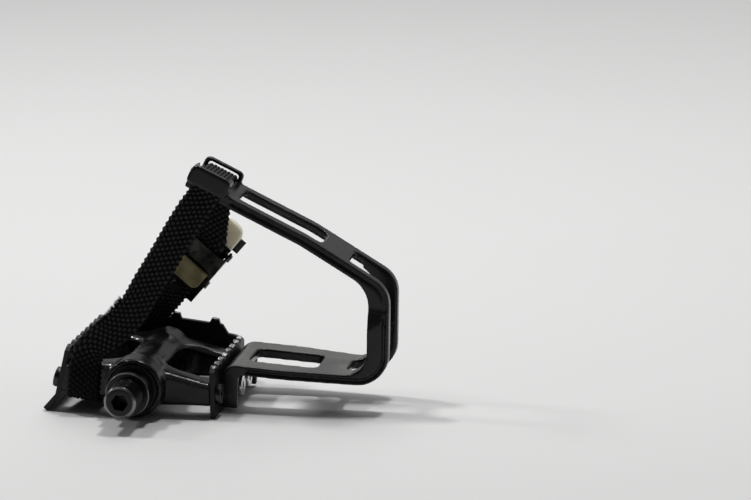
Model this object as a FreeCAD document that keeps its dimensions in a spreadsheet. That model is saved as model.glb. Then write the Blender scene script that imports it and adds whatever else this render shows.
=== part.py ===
import FreeCAD, Part
import math
import os

import Sketcher
from FreeCAD import Matrix, Placement, Rotation, Vector

# A platform pedal with a toe clip and strap. The spindle lies along Y: the crank shoulder is at the origin,
# +Y points away from the crank, +X towards the toe and +Z up. Pieces are drawn level, in the pedal's own
# frame, and then pitched nose-down together, the way the pedal lies on a table.

SIZES = {
    # Spindle, along its axis from the crank shoulder outwards
    "thread_radius": 7.14,
    "thread_length": 13.0,
    "thread_chamfer": 1.2,
    "flange_radius": 9.5,
    "flange_width": 3.0,
    "flats_across": 15.0,
    "flats_width": 5.0,
    "hex_across": 6.0,
    "hex_depth": 8.0,
    "seal_land_radius": 8.2,
    "inner_race_radius": 6.2,
    "shaft_radius": 5.0,
    "stud_radius": 4.0,
    "stud_overhang": 1.2,
    "race_run": 1.0,
    "shaft_taper": 3.0,
    "edge_break": 0.7,
    # Bearings
    "ball_radius": 1.5875,
    "inner_ball_count": 13,
    "outer_ball_count": 11,
    "outer_race_radius": 5.2,
    "race_clearance": 0.03,
    "running_clearance": 0.06,
    "fit_clearance": 0.03,
    "cup_wall": 1.2,
    "cup_length": 7.0,
    "cup_lip": 1.5,
    "seal_width": 3.0,
    "land_overlap": 0.8,
    "cone_flange_radius": 6.4,
    "cone_flange_width": 2.0,
    "cone_overlap": 0.5,
    "outer_ball_shift": 0.3,
    "washer_width": 1.2,
    "washer_radius": 6.6,
    "nut_across": 11.0,
    "nut_width": 3.6,
    "cap_plug_depth": 4.0,
    "cap_plug_wall": 1.3,
    "cap_flange_radius": 10.6,
    "cap_flange_width": 1.5,
    # Pedal body
    "body_gap": 1.0,
    "body_length": 66.5,
    "bell_radius": 13.0,
    "bell_length": 12.0,
    "bell_taper": 12.0,
    "waist_radius": 10.2,
    "boss_radius": 11.6,
    "boss_length": 13.5,
    "boss_taper": 6.0,
    "body_bore_radius": 7.4,
    "arm_offset": 7.0,
    "arm_width": 11.0,
    "arm_inset": 0.5,
    "arm_end_half": 5.0,
    "arm_rear_drop": 8.5,
    "arm_root_half": 8.6,
    "arm_root_x": 9.0,
    "arm_crest_half": 5.0,
    "arm_root_fillet": 8.0,
    "arm_edge_fillet": 2.4,
    # Cage
    "cage_half_length": 34.5,
    "cage_start": 17.0,
    "cap_room": 6.3,
    "plate_thickness": 2.2,
    "plate_height": 20.0,
    "plate_lean": 7.0,
    "cage_corner": 9.0,
    "tooth_height": 2.2,
    "tooth_count": 8,
    "tooth_tip": 1.6,
    "side_top": 13.2,
    "side_shoulder": 9.4,
    "side_bottom": 8.6,
    "side_top_half": 21.5,
    "nub_height": 2.4,
    "nub_width": 5.0,
    "nub_offset": 18.0,
    "tab_length": 8.4,
    "tab_width": 40.0,
    "tab_flare": 28.0,
    "screw_radius": 2.5,
    "screw_head_radius": 4.4,
    "screw_head_height": 2.3,
    "screw_length": 9.0,
    "screw_hex_across": 3.0,
    "screw_hex_depth": 1.5,
    "rear_screw_drop": 3.5,
    "screw_relief": 0.4,
    # Toe clip, drawn from the side, with widths across the pedal
    "clip_inset": 12.5,
    "clip_base_width": 43.0,
    "clip_toe_width": 30.0,
    "clip_toe_flare": 2.0,
    "clip_top_width": 28.6,
    "clip_flange_depth": 6.6,
    "clip_flange_plate": 3.0,
    "clip_flange_drop": 8.2,
    "clip_flange_rib": 3.4,
    "clip_lower_rise": 10.8,
    "clip_lower_end_rise": 13.6,
    "clip_lower_thickness": 4.3,
    "clip_toe_reach": 61.7,
    "clip_toe_thickness": 9.2,
    "clip_toe_height": 51.6,
    "clip_toe_lean": 3.6,
    "clip_knee_back": 31.6,
    "clip_knee_rise": 14.6,
    "clip_top_back": 84.6,
    "clip_top_rise": 33.5,
    "clip_upper_thickness": 5.0,
    "clip_base_radius": 6.0,
    "clip_toe_radius": 9.5,
    "clip_shoulder_radius": 14.0,
    "clip_outer_toe_radius": 13.0,
    "clip_outer_shoulder_radius": 13.0,
    "clip_knee_radius": 60.0,
    "clip_groove_edge": 1.2,
    "clip_groove_width": 1.7,
    "clip_groove_depth": 1.1,
    "clip_nose_radius": 4.0,
    "clip_taper_start": 20.0,
    "lower_rail": 11.0,
    "upper_rail": 5.6,
    "lower_slot_start": 9.0,
    "lower_slot_end": 39.0,
    "lower_bridge": 13.0,
    "rail_lip": 2.0,
    "rail_relief": 2.6,
    "upper_bridge": 12.5,
    "upper_slot_start": 23.0,
    "ear_thickness": 3.2,
    "ear_post": 2.0,
    "ear_bar": 1.6,
    "ear_window": 3.3,
    "ear_side_gap": 0.4,
    "ear_corner": 2.4,
    "near_bar": 2.6,
    "near_bar_drop": 1.2,
    "near_bar_rise": 7.8,
    "near_bar_corner": 3.4,
    "near_bar_room": 0.4,
    "clip_bolt_pitch": 14.0,
    "clip_bolt_drop": 2.2,
    "clip_bolt_radius": 2.5,
    "clip_bolt_head_radius": 4.4,
    "clip_bolt_head_height": 2.6,
    "clip_washer_radius": 5.6,
    "clip_washer_width": 1.0,
    "clip_nut_across": 8.0,
    "clip_nut_width": 4.0,
    "clip_bolt_overhang": 1.5,
    # Strap and buckle
    "strap_width": 14.0,
    "strap_thickness": 1.8,
    "strap_gap": 0.25,
    "strap_near_x": -23.0,
    "strap_far_x": -16.5,
    "strap_bend": 2.0,
    "strap_skew": 1.2,
    "near_bow": 4.7,
    "buckle_x": 7.8,
    "buckle_inset": 12.8,
    "buckle_z": 40.9,
    "buckle_lean": 34.0,
    "buckle_splay": 8.8,
    "frame_half_length": 13.0,
    "frame_wall": 1.2,
    "frame_side_gap": 1.6,
    "roller_radius": 1.8,
    "roller_back": 4.0,
    "pin_radius": 1.2,
    "pin_head": 0.9,
    "lever_ahead": 10.0,
    "lever_cam_radius": 2.2,
    "lever_reach": 10.0,
    "lever_plate": 1.6,
    "lever_tab_half": 11.0,
    "lever_side_gap": 0.5,
    "roller_side_gap": 0.2,
    "spring_wire": 0.35,
    "spring_turns": 3,
    "spring_pitch": 1.0,
    "tail_end": 16.0,
    "tip_length": 11.5,
    "tip_thickness": 3.2,
    "rivet_radius": 1.6,
    "rivet_head_radius": 2.8,
    "rivet_head_height": 0.9,
    "rivet_back": 10.4,
    "anchor_end": 7.0,
    "pad_thickness": 2.0,
    "pad_half_width": 7.6,
    "pad_start": 6.6,
    "pad_end": 3.4,
    "pad_gap": 0.2,
    "pad_corner": 3.0,
}

doc = FreeCAD.newDocument("toe_clip_pedal")
sheet = doc.addObject("Spreadsheet::Sheet", "dims")
for row, (alias, value) in enumerate(SIZES.items(), start=1):
    sheet.set(f"A{row}", alias)
    sheet.set(f"B{row}", str(value))
    sheet.setAlias(f"B{row}", alias)
doc.recompute()


def size(alias):
    """Value of one driving dimension."""
    return float(sheet.get(alias))


def worked(expression):
    """Number that an expression on the sizes comes to."""
    return float(sheet.evalExpression(expression))


# Places along the spindle, as expressions on the sizes
FLATS_END = "(dims.flange_width + dims.flats_width)"
BODY_START = f"({FLATS_END} + dims.body_gap)"
BODY_END = f"({BODY_START} + dims.body_length)"
INNER_CUP_START = f"({BODY_START} + dims.seal_width)"
INNER_CUP_END = f"({INNER_CUP_START} + dims.cup_length)"
INNER_BALL_Y = f"({INNER_CUP_START} + (dims.cup_length - dims.cup_lip) / 2)"
STACK_END = f"({BODY_END} - dims.stud_overhang)"
NUT_START = f"({STACK_END} - dims.stud_overhang - dims.nut_width)"
WASHER_START = f"({NUT_START} - dims.washer_width)"
CONE_FLANGE_START = f"({WASHER_START} - dims.cone_flange_width)"
OUTER_CUP_END = f"({CONE_FLANGE_START} + dims.cone_overlap)"
OUTER_CUP_START = f"({OUTER_CUP_END} - dims.cup_length)"
OUTER_LIP_END = f"({OUTER_CUP_START} + dims.cup_lip)"
OUTER_BALL_Y = f"({OUTER_LIP_END} + (dims.cup_length - dims.cup_lip) / 2 - dims.outer_ball_shift)"
# Radii of the races and cups
INNER_PITCH = "(dims.inner_race_radius + dims.ball_radius + dims.race_clearance)"
INNER_CUP_BORE = f"({INNER_PITCH} + dims.ball_radius + dims.race_clearance)"
INNER_CUP_OUT = f"({INNER_CUP_BORE} + dims.cup_wall)"
OUTER_PITCH = "(dims.outer_race_radius + dims.ball_radius + dims.race_clearance)"
OUTER_CUP_BORE = f"({OUTER_PITCH} + dims.ball_radius + dims.race_clearance)"
OUTER_CUP_OUT = f"({OUTER_CUP_BORE} + dims.cup_wall)"
STUD_BORE = "(dims.stud_radius + dims.fit_clearance)"
# Places along the pedal's width
ARM_NEAR = f"({BODY_START} + dims.arm_offset)"
ARM_FAR = f"({BODY_END} - dims.arm_inset)"
CAGE_END = f"({BODY_END} + dims.cap_flange_width + dims.cap_room + dims.plate_thickness)"
CLIP_CENTER = f"({ARM_FAR} - dims.arm_width - dims.clip_inset)"


def rest_pitch():
    """Nose-down angle at which the flip tab and the front plate's lower edge both touch the table."""
    lean = math.radians(size("plate_lean"))
    flare = lean + math.radians(size("tab_flare"))
    half = size("plate_height") / 2
    front_x = size("cage_half_length") + half * math.tan(lean)
    wall = size("plate_thickness")
    rear_x = front_x + size("tab_length") * math.sin(flare) - wall * math.cos(flare)
    rear_drop = size("tab_length") * math.cos(flare) + wall * math.sin(flare)
    return math.degrees(math.atan2(rear_drop, front_x + rear_x))


REST = Placement(Vector(), Rotation(Vector(0, 1, 0), rest_pitch()))


def outline(body, name, role, corners, holes=(), offset=None):
    """Sketch of closed straight-edged outlines, each corner a pair of expressions on the sizes."""
    sketch = body.newObject("Sketcher::SketchObject", name)
    plane = next(item for item in body.Origin.OriginFeatures if item.Role == role)
    sketch.AttachmentSupport = [(plane, "")]
    sketch.MapMode = "FlatFace"
    if offset:
        sketch.setExpression("AttachmentOffset.Base.z", offset)
    for loop in (corners, *holes):
        first = sketch.GeometryCount
        count = len(loop)
        spots = [Vector(worked(x), worked(y), 0) for x, y in loop]
        for index in range(count):
            sketch.addGeometry(Part.LineSegment(spots[index], spots[(index + 1) % count]))
        for index in range(count):
            follower = first + (index + 1) % count
            sketch.addConstraint(Sketcher.Constraint("Coincident", first + index, 2, follower, 1))
        for index, corner in enumerate(loop):
            for kind, axis, text in (("DistanceX", -2, corner[0]), ("DistanceY", -1, corner[1])):
                if text == "0":
                    sketch.addConstraint(Sketcher.Constraint("PointOnObject", first + index, 1, axis))
                    continue
                rule = Sketcher.Constraint(kind, -1, 1, first + index, 1, worked(text))
                number = sketch.addConstraint(rule)
                sketch.setExpression(f"Constraints[{number}]", text)
    return sketch


def circles(body, name, role, spots, offset=None):
    """Sketch of circles, each given by expressions for its two coordinates and its radius."""
    sketch = body.newObject("Sketcher::SketchObject", name)
    plane = next(item for item in body.Origin.OriginFeatures if item.Role == role)
    sketch.AttachmentSupport = [(plane, "")]
    sketch.MapMode = "FlatFace"
    if offset:
        sketch.setExpression("AttachmentOffset.Base.z", offset)
    for x, y, radius in spots:
        center = Vector(worked(x), worked(y), 0)
        index = sketch.addGeometry(Part.Circle(center, Vector(0, 0, 1), worked(radius)))
        for kind, axis, text in (("DistanceX", -2, x), ("DistanceY", -1, y)):
            if text == "0":
                sketch.addConstraint(Sketcher.Constraint("PointOnObject", index, 3, axis))
                continue
            number = sketch.addConstraint(Sketcher.Constraint(kind, -1, 1, index, 3, worked(text)))
            sketch.setExpression(f"Constraints[{number}]", text)
        number = sketch.addConstraint(Sketcher.Constraint("Radius", index, worked(radius)))
        sketch.setExpression(f"Constraints[{number}]", radius)
    return sketch


def new_body(label, place=REST):
    """Empty body at its place in the resting pedal."""
    body = doc.addObject("PartDesign::Body", label)
    body.Label = label
    body.Placement = place
    return body


def feature(body, kind, name, sketch, **settings):
    """Sketch-based feature; settings given as text are expressions, others plain values."""
    made = body.newObject(f"PartDesign::{kind}", name)
    made.Profile = (sketch, [""])
    for key, value in settings.items():
        if key == "ReferenceAxis":
            made.ReferenceAxis = (sketch, [value])
        elif key in ("Type", "SideType"):
            setattr(made, key, value)
        elif isinstance(value, str):
            made.setExpression(key, value)
        else:
            setattr(made, key, value)
    sketch.Visibility = False
    return made


def turned(label, profile, place=REST):
    """Body turned about the spindle axis from a profile of radius and axial place."""
    body = new_body(label, place)
    sketch = outline(body, f"{label}_profile", "XY_Plane", profile)
    feature(body, "Revolution", f"{label}_turned", sketch, ReferenceAxis="V_Axis", Angle=360.0)
    return body


def ring_profile(inner, outer, start, end):
    """Plain rectangular section of a turned ring."""
    return [(inner, start), (outer, start), (outer, end), (inner, end)]


def hexagon(across):
    """Corners of a hexagon given across its flats."""
    return [
        (f"{across} / sqrt(3) * cos({60 * step} deg)", "0" if step in (0, 3) else
         f"{across} / sqrt(3) * sin({60 * step} deg)")
        for step in range(6)
    ]


def solid_node(label, shape, place=REST):
    """Piece whose shape is worked out from the sizes in code."""
    node = doc.addObject("Part::Feature", label)
    node.Label = label
    node.Shape = shape
    node.Placement = place * shape.Placement
    return node


# Spindle, turned, with wrench flats and a hexagon socket in its threaded end
spindle = turned("spindle", [
    ("0", "-dims.thread_length"),
    ("dims.thread_radius - dims.thread_chamfer", "-dims.thread_length"),
    ("dims.thread_radius", "-dims.thread_length + dims.thread_chamfer"),
    ("dims.thread_radius", "0"),
    ("dims.flange_radius", "0"),
    ("dims.flange_radius", FLATS_END),
    ("dims.seal_land_radius", FLATS_END),
    ("dims.seal_land_radius", f"{INNER_CUP_START} + dims.land_overlap"),
    ("dims.inner_race_radius", f"{INNER_CUP_START} + dims.land_overlap"),
    ("dims.inner_race_radius", f"{INNER_CUP_END} + dims.race_run"),
    ("dims.shaft_radius", f"{INNER_CUP_END} + dims.race_run + dims.shaft_taper"),
    ("dims.shaft_radius", f"{OUTER_CUP_START} - dims.race_run"),
    ("dims.stud_radius", f"{OUTER_CUP_START} - dims.race_run"),
    ("dims.stud_radius", f"{STACK_END} - dims.edge_break"),
    ("dims.stud_radius - dims.edge_break", STACK_END),
    ("0", STACK_END),
])
flat_edge = "dims.flats_across / 2"
beyond = "dims.flange_radius + 2"
flats = outline(
    spindle, "flats", "YZ_Plane",
    [("dims.flange_width", flat_edge), (FLATS_END, flat_edge),
     (FLATS_END, beyond), ("dims.flange_width", beyond)],
    holes=[[("dims.flange_width", f"-{flat_edge}"), (FLATS_END, f"-{flat_edge}"),
            (FLATS_END, f"-({beyond})"), ("dims.flange_width", f"-({beyond})")]],
)
feature(spindle, "Pocket", "flats_cut", flats, Type="ThroughAll", SideType="Symmetric")
socket = outline(spindle, "socket", "XZ_Plane", hexagon("dims.hex_across"), offset="dims.thread_length")
feature(spindle, "Pocket", "socket_cut", socket, Type="Length", Length="dims.hex_depth")

# Pedal body: four arms cut to a side profile, then the barrel, its bores and the screw holes
lean_tan = "tan(dims.plate_lean * 1 deg)"


def arm_end(height):
    """Arm end against the leaning plate's inner face at one height."""
    wall = "dims.plate_thickness / cos(dims.plate_lean * 1 deg)"
    return f"(dims.cage_half_length - {wall} - ({height}) * {lean_tan} - dims.fit_clearance)"


pedal_body = new_body("pedal_body")
reach = "(dims.cage_half_length + 4)"
near_in = f"({ARM_NEAR} + dims.arm_width)"
far_in = f"({ARM_FAR} - dims.arm_width)"
plan = outline(pedal_body, "arms_plan", "XY_Plane", [
    (f"-{reach}", ARM_NEAR), (reach, ARM_NEAR), (reach, near_in), ("dims.arm_root_x", near_in),
    ("dims.arm_root_x", far_in), (reach, far_in), (reach, ARM_FAR), (f"-{reach}", ARM_FAR),
    (f"-{reach}", far_in), ("-dims.arm_root_x", far_in), ("-dims.arm_root_x", near_in),
    (f"-{reach}", near_in),
])
arms = feature(pedal_body, "Pad", "arms", plan, Length="4 * dims.arm_root_half", SideType="Symmetric")
top, drop = "dims.arm_end_half", "-dims.arm_rear_drop"
margin = f"({reach} + 5)"
sides = outline(
    pedal_body, "arms_side", "XZ_Plane",
    [(f"-{margin}", f"-{margin}"), (margin, f"-{margin}"), (margin, margin), (f"-{margin}", margin)],
    holes=[[
        (arm_end(top), top), ("dims.arm_crest_half", "dims.arm_root_half"),
        ("-dims.arm_crest_half", "dims.arm_root_half"), (f"-{arm_end(top)}", top),
        (f"-{arm_end(drop)}", drop), ("-dims.arm_crest_half", "-dims.arm_root_half"),
        ("dims.arm_crest_half", "-dims.arm_root_half"), (arm_end(f"-{top}"), f"-{top}"),
    ]],
)
feature(pedal_body, "Pocket", "arms_trim", sides, Type="ThroughAll", SideType="Symmetric")
doc.recompute()


def edges_where(shape, test):
    """Names of the edges whose middle point and direction pass a test."""
    names = []
    for number, edge in enumerate(shape.Edges, start=1):
        middle = edge.valueAt((edge.FirstParameter + edge.LastParameter) / 2)
        ends = edge.Vertexes[-1].Point - edge.Vertexes[0].Point
        if test(middle, ends):
            names.append(f"Edge{number}")
    return names


root_x = size("arm_root_x")
roots = edges_where(
    pedal_body.Tip.Shape,
    lambda middle, ends: abs(abs(middle.x) - root_x) < 0.01 and abs(ends.x) < 0.01 and abs(ends.y) < 0.01,
)
blend = pedal_body.newObject("PartDesign::Fillet", "arm_roots")
blend.Base = (pedal_body.getObject("arms_trim"), roots)
blend.setExpression("Radius", "dims.arm_root_fillet")
doc.recompute()
crest_x = size("arm_crest_half")
end_x = worked(arm_end("dims.arm_end_half")) - 1.5


def is_long_edge(middle, ends):
    """Edge along an arm's top or bottom, not across its end or its crest."""
    upright = abs(ends.x) < 0.01 and abs(ends.y) < 0.01
    on_crest = abs(abs(middle.x) - crest_x) < 0.01 and abs(ends.x) < 0.01
    return abs(middle.x) < end_x and not upright and not on_crest


long_edges = edges_where(blend.Shape, is_long_edge)
rounding = pedal_body.newObject("PartDesign::Fillet", "arm_edges")
rounding.Base = (blend, long_edges)
rounding.setExpression("Radius", "dims.arm_edge_fillet")
barrel = outline(pedal_body, "barrel", "XY_Plane", [
    ("0", BODY_START),
    ("dims.bell_radius - dims.edge_break", BODY_START),
    ("dims.bell_radius", f"{BODY_START} + dims.edge_break"),
    ("dims.bell_radius", f"{BODY_START} + dims.bell_length"),
    ("dims.waist_radius", f"{BODY_START} + dims.bell_length + dims.bell_taper"),
    ("dims.waist_radius", f"{BODY_END} - dims.boss_length - dims.boss_taper"),
    ("dims.boss_radius", f"{BODY_END} - dims.boss_length"),
    ("dims.boss_radius", f"{BODY_END} - dims.edge_break"),
    ("dims.boss_radius - dims.edge_break", BODY_END),
    ("0", BODY_END),
])
feature(pedal_body, "Revolution", "barrel_turned", barrel, ReferenceAxis="V_Axis", Angle=360.0)
bores = outline(pedal_body, "bores", "XY_Plane", [
    ("0", f"{BODY_START} - 1"),
    (f"{INNER_CUP_OUT} + dims.fit_clearance", f"{BODY_START} - 1"),
    (f"{INNER_CUP_OUT} + dims.fit_clearance", INNER_CUP_END),
    ("dims.body_bore_radius", INNER_CUP_END),
    ("dims.body_bore_radius", OUTER_CUP_START),
    (f"{OUTER_CUP_OUT} + dims.fit_clearance", OUTER_CUP_START),
    (f"{OUTER_CUP_OUT} + dims.fit_clearance", f"{BODY_END} + 1"),
    ("0", f"{BODY_END} + 1"),
])
feature(pedal_body, "Groove", "bores_cut", bores, ReferenceAxis="V_Axis", Angle=360.0)

# Screw places: two on each plate, square to the leaning plate
LEAN = size("plate_lean")
lean_angle = math.radians(LEAN)
arm_mid = [worked(ARM_NEAR) + size("arm_width") / 2, worked(ARM_FAR) - size("arm_width") / 2]


def plate_place(side, across, height):
    """Placement on a plate's outer face with +Z out of the pedal; side is +1 for front and -1 for rear."""
    x = side * (size("cage_half_length") - height * math.tan(lean_angle))
    turn = Rotation(Vector(0, 1, 0), side * 90.0 - side * LEAN)
    return Placement(Vector(x, across, height), turn)


screw_places = [plate_place(1, y, 0.0) for y in arm_mid]
screw_places += [plate_place(-1, y, -size("rear_screw_drop")) for y in arm_mid]
for index, place in enumerate(screw_places):
    hole = pedal_body.newObject("PartDesign::SubtractiveCylinder", f"screw_hole_{index}")
    hole.setExpression("Radius", "dims.screw_radius + dims.fit_clearance")
    hole.setExpression("Height", "dims.screw_length + 1")
    hole.Placement = place * Placement(Vector(0, 0, -size("screw_length") - 1), Rotation())
doc.recompute()


def capped(name, head_radius, head_height, shank_radius, shank_length, hex_across, hex_depth):
    """Cap screw with its head above z = 0, its shank below and a hexagon socket on top."""
    head = doc.addObject("Part::Cylinder", f"{name}_head")
    head.setExpression("Radius", head_radius)
    head.setExpression("Height", head_height)
    shank = doc.addObject("Part::Cylinder", f"{name}_shank")
    shank.setExpression("Radius", shank_radius)
    shank.setExpression("Height", f"{shank_length} + {head_height} / 2")
    shank.setExpression("Placement.Base.z", f"-({shank_length})")
    key = doc.addObject("Part::Prism", f"{name}_key")
    key.Polygon = 6
    key.setExpression("Circumradius", f"{hex_across} / sqrt(3)")
    key.setExpression("Height", f"{hex_depth} + 1")
    key.setExpression("Placement.Base.z", f"{head_height} - {hex_depth}")
    whole = doc.addObject("Part::Fuse", f"{name}_blank")
    whole.Base = head
    whole.Tool = shank
    cut = doc.addObject("Part::Cut", f"{name}_pattern")
    cut.Base = whole
    cut.Tool = key
    doc.recompute()
    return cut.Shape


def group(label, pattern, places, place=REST):
    """Node of equal pieces, one at each place."""
    pieces = []
    for spot in places:
        piece = pattern.copy()
        piece.Placement = spot
        pieces.append(piece)
    return solid_node(label, Part.makeCompound(pieces), place)


cage_screws = group(
    "cage_screws",
    capped("cage_screw", "dims.screw_head_radius", "dims.screw_head_height", "dims.screw_radius",
           "dims.screw_length", "dims.screw_hex_across", "dims.screw_hex_depth"),
    screw_places,
)

# Bearings, from the crank side outwards
spindle_seal = turned("spindle_seal", ring_profile(
    "dims.seal_land_radius + dims.running_clearance", INNER_CUP_OUT, BODY_START, INNER_CUP_START))
inner_cup = turned("inner_cup", [
    (INNER_CUP_BORE, INNER_CUP_START),
    (INNER_CUP_OUT, INNER_CUP_START),
    (INNER_CUP_OUT, INNER_CUP_END),
    (INNER_PITCH, INNER_CUP_END),
    (INNER_PITCH, f"{INNER_CUP_END} - dims.cup_lip"),
    (INNER_CUP_BORE, f"{INNER_CUP_END} - dims.cup_lip"),
])
outer_cup = turned("outer_cup", [
    (OUTER_PITCH, OUTER_CUP_START),
    (OUTER_CUP_OUT, OUTER_CUP_START),
    (OUTER_CUP_OUT, OUTER_CUP_END),
    (OUTER_CUP_BORE, OUTER_CUP_END),
    (OUTER_CUP_BORE, OUTER_LIP_END),
    (OUTER_PITCH, OUTER_LIP_END),
])
adjusting_cone = turned("adjusting_cone", [
    (STUD_BORE, f"{OUTER_CUP_START} + dims.cone_overlap"),
    ("dims.outer_race_radius", f"{OUTER_CUP_START} + dims.cone_overlap"),
    ("dims.outer_race_radius", CONE_FLANGE_START),
    ("dims.cone_flange_radius", CONE_FLANGE_START),
    ("dims.cone_flange_radius", WASHER_START),
    (STUD_BORE, WASHER_START),
])
lock_washer = turned("lock_washer", ring_profile(STUD_BORE, "dims.washer_radius", WASHER_START, NUT_START))
lock_nut = new_body("lock_nut")
nut_sketch = outline(lock_nut, "nut_hexagon", "XZ_Plane", hexagon("dims.nut_across"),
                     offset=f"-{NUT_START} - dims.nut_width")
feature(lock_nut, "Pad", "nut_blank", nut_sketch, Length="dims.nut_width")
nut_hole = circles(lock_nut, "nut_hole", "XZ_Plane", [("0", "0", STUD_BORE)])
feature(lock_nut, "Pocket", "nut_bore", nut_hole, Type="ThroughAll", SideType="Symmetric")
plug_out = OUTER_CUP_OUT
dust_cap = turned("dust_cap", [
    ("0", BODY_END),
    (f"{plug_out} - dims.cap_plug_wall", BODY_END),
    (f"{plug_out} - dims.cap_plug_wall", f"{BODY_END} - dims.cap_plug_depth"),
    (plug_out, f"{BODY_END} - dims.cap_plug_depth"),
    (plug_out, BODY_END),
    ("dims.cap_flange_radius", BODY_END),
    ("dims.cap_flange_radius", f"{BODY_END} + dims.cap_flange_width - dims.edge_break"),
    ("dims.cap_flange_radius - dims.edge_break", f"{BODY_END} + dims.cap_flange_width"),
    ("0", f"{BODY_END} + dims.cap_flange_width"),
])


def ball_ring(label, pitch, axial, count):
    """Ring of bearing balls about the spindle."""
    balls = []
    for number in range(int(size(count))):
        ball = doc.addObject("Part::Sphere", f"{label}_{number}")
        ball.setExpression("Radius", "dims.ball_radius")
        ball.setExpression("Placement.Base.x", f"{pitch} * cos(360 deg * {number} / dims.{count})")
        ball.setExpression("Placement.Base.y", axial)
        ball.setExpression("Placement.Base.z", f"{pitch} * sin(360 deg * {number} / dims.{count})")
        balls.append(ball)
    ring = doc.addObject("Part::Compound", label)
    ring.Label = label
    ring.Links = balls
    ring.Placement = REST
    return ring


inner_balls = ball_ring("inner_balls", INNER_PITCH, INNER_BALL_Y, "inner_ball_count")
outer_balls = ball_ring("outer_balls", OUTER_PITCH, OUTER_BALL_Y, "outer_ball_count")


def prism(points, normal, length):
    """Straight prism on a closed polygon of points."""
    face = Part.Face(Part.makePolygon([*points, points[0]]))
    return face.extrude(normal * length)


def cage_outline(height):
    """Closed outline of the folded strip at one height."""
    half = size("cage_half_length") - height * math.tan(lean_angle)
    inner = half - size("plate_thickness") / math.cos(lean_angle)
    start = size("cage_start")
    end = worked(CAGE_END)
    wall = size("plate_thickness")
    corner = size("cage_corner")
    inside = corner - wall
    turn = end - corner

    def at(x, y):
        return Vector(x, y, height)

    def bend(center_x, radius, first, last):
        angles = [math.radians(angle) for angle in (first, (first + last) / 2, last)]
        spots = [at(center_x + radius * math.cos(a), turn + radius * math.sin(a)) for a in angles]
        return Part.Arc(*spots).toShape()

    return Part.Wire([
        Part.makeLine(at(half, start), at(half, turn)),
        bend(half - corner, corner, 0, 90),
        Part.makeLine(at(half - corner, end), at(corner - half, end)),
        bend(corner - half, corner, 90, 180),
        Part.makeLine(at(-half, turn), at(-half, start)),
        Part.makeLine(at(-half, start), at(-inner, start)),
        Part.makeLine(at(-inner, start), at(-inner, turn)),
        bend(inside - inner, inside, 180, 90),
        Part.makeLine(at(inside - inner, end - wall), at(inner - inside, end - wall)),
        bend(inner - inside, inside, 90, 0),
        Part.makeLine(at(inner, turn), at(inner, start)),
        Part.makeLine(at(inner, start), at(half, start)),
    ])


def clip_bolt_rows():
    """Places across the pedal of the two toe clip bolts."""
    half = size("clip_bolt_pitch") / 2
    return [worked(CLIP_CENTER) - half, worked(CLIP_CENTER) + half]


clip_bolt_places = [plate_place(1, y, -size("clip_bolt_drop")) for y in clip_bolt_rows()]


def cage_shape():
    """Folded strip with toothed front and rear plates, a higher outer plate and a flip tab."""
    half = size("cage_half_length")
    low = -size("plate_height") / 2
    high = size("plate_height") / 2
    side_top = size("side_top")
    crest = side_top + size("nub_height")
    start = size("cage_start")
    end = worked(CAGE_END)
    turn = end - size("cage_corner")
    far = 3 * half
    sky = crest + 20
    strip = Part.makeLoft([cage_outline(low), cage_outline(crest + 1)], True, True)

    pitch = (turn - start) / int(size("tooth_count"))
    tip = size("tooth_tip") / 2
    edge = [(start - 1, high), (start, high)]
    for number in range(int(size("tooth_count"))):
        middle = start + (number + 0.5) * pitch
        edge += [(middle - tip, high + size("tooth_height")), (middle + tip, high + size("tooth_height"))]
        edge.append((start + (number + 1) * pitch, high))
    edge += [(turn, sky), (start - 1, sky)]
    strip = strip.cut(prism([Vector(-far, y, z) for y, z in edge], Vector(1, 0, 0), 2 * far))

    wide = size("side_top_half")
    shoulder = size("side_shoulder")
    edge = [(-far, shoulder), (-wide - 3, shoulder), (-wide, side_top)]
    nub = size("nub_width") / 2
    for middle in (-size("nub_offset"), 0.0, size("nub_offset")):
        edge += [(middle - nub, side_top), (middle - nub * 0.6, crest), (middle + nub * 0.6, crest)]
        edge.append((middle + nub, side_top))
    edge += [(wide, side_top), (wide + 3, shoulder), (far, shoulder), (far, sky), (-far, sky)]
    strip = strip.cut(prism([Vector(x, turn, z) for x, z in edge], Vector(0, 1, 0), end - turn + 1))
    under = [(-far, -sky), (far, -sky), (far, -size("side_bottom")), (-far, -size("side_bottom"))]
    strip = strip.cut(prism([Vector(x, turn, z) for x, z in under], Vector(0, 1, 0), end - turn + 1))

    wall = size("plate_thickness")
    flare = lean_angle + math.radians(size("tab_flare"))
    outer = -(half - low * math.tan(lean_angle))
    inner = outer + wall / math.cos(lean_angle)
    down = Vector(-math.sin(flare), 0, -math.cos(flare)) * size("tab_length")
    through = Vector(math.cos(flare), 0, -math.sin(flare)) * wall
    heel = Vector(outer, start, low) + down
    bite = wall / 2
    tab = prism([
        Vector(outer + bite * math.tan(lean_angle), start, low + bite),
        Vector(outer, start, low),
        heel,
        heel + through,
        Vector(inner, start, low),
        Vector(inner + bite * math.tan(lean_angle), start, low + bite),
    ], Vector(0, 1, 0), size("tab_width"))
    strip = strip.fuse(tab).removeSplitter()

    for place in screw_places:
        strip = strip.cut(plate_hole(place, size("screw_radius") + size("fit_clearance")))
    for place in clip_bolt_places:
        strip = strip.cut(plate_hole(place, size("clip_bolt_radius") + size("fit_clearance")))
    return strip


def plate_hole(place, radius):
    """Cutter for a round hole square through a plate and what lies on it."""
    depth = size("clip_flange_depth") + size("plate_thickness")
    cutter = Part.makeCylinder(radius, 2 * depth, Vector(0, 0, -depth))
    cutter.Placement = place
    return cutter


cage = solid_node("cage", cage_shape())


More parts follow.
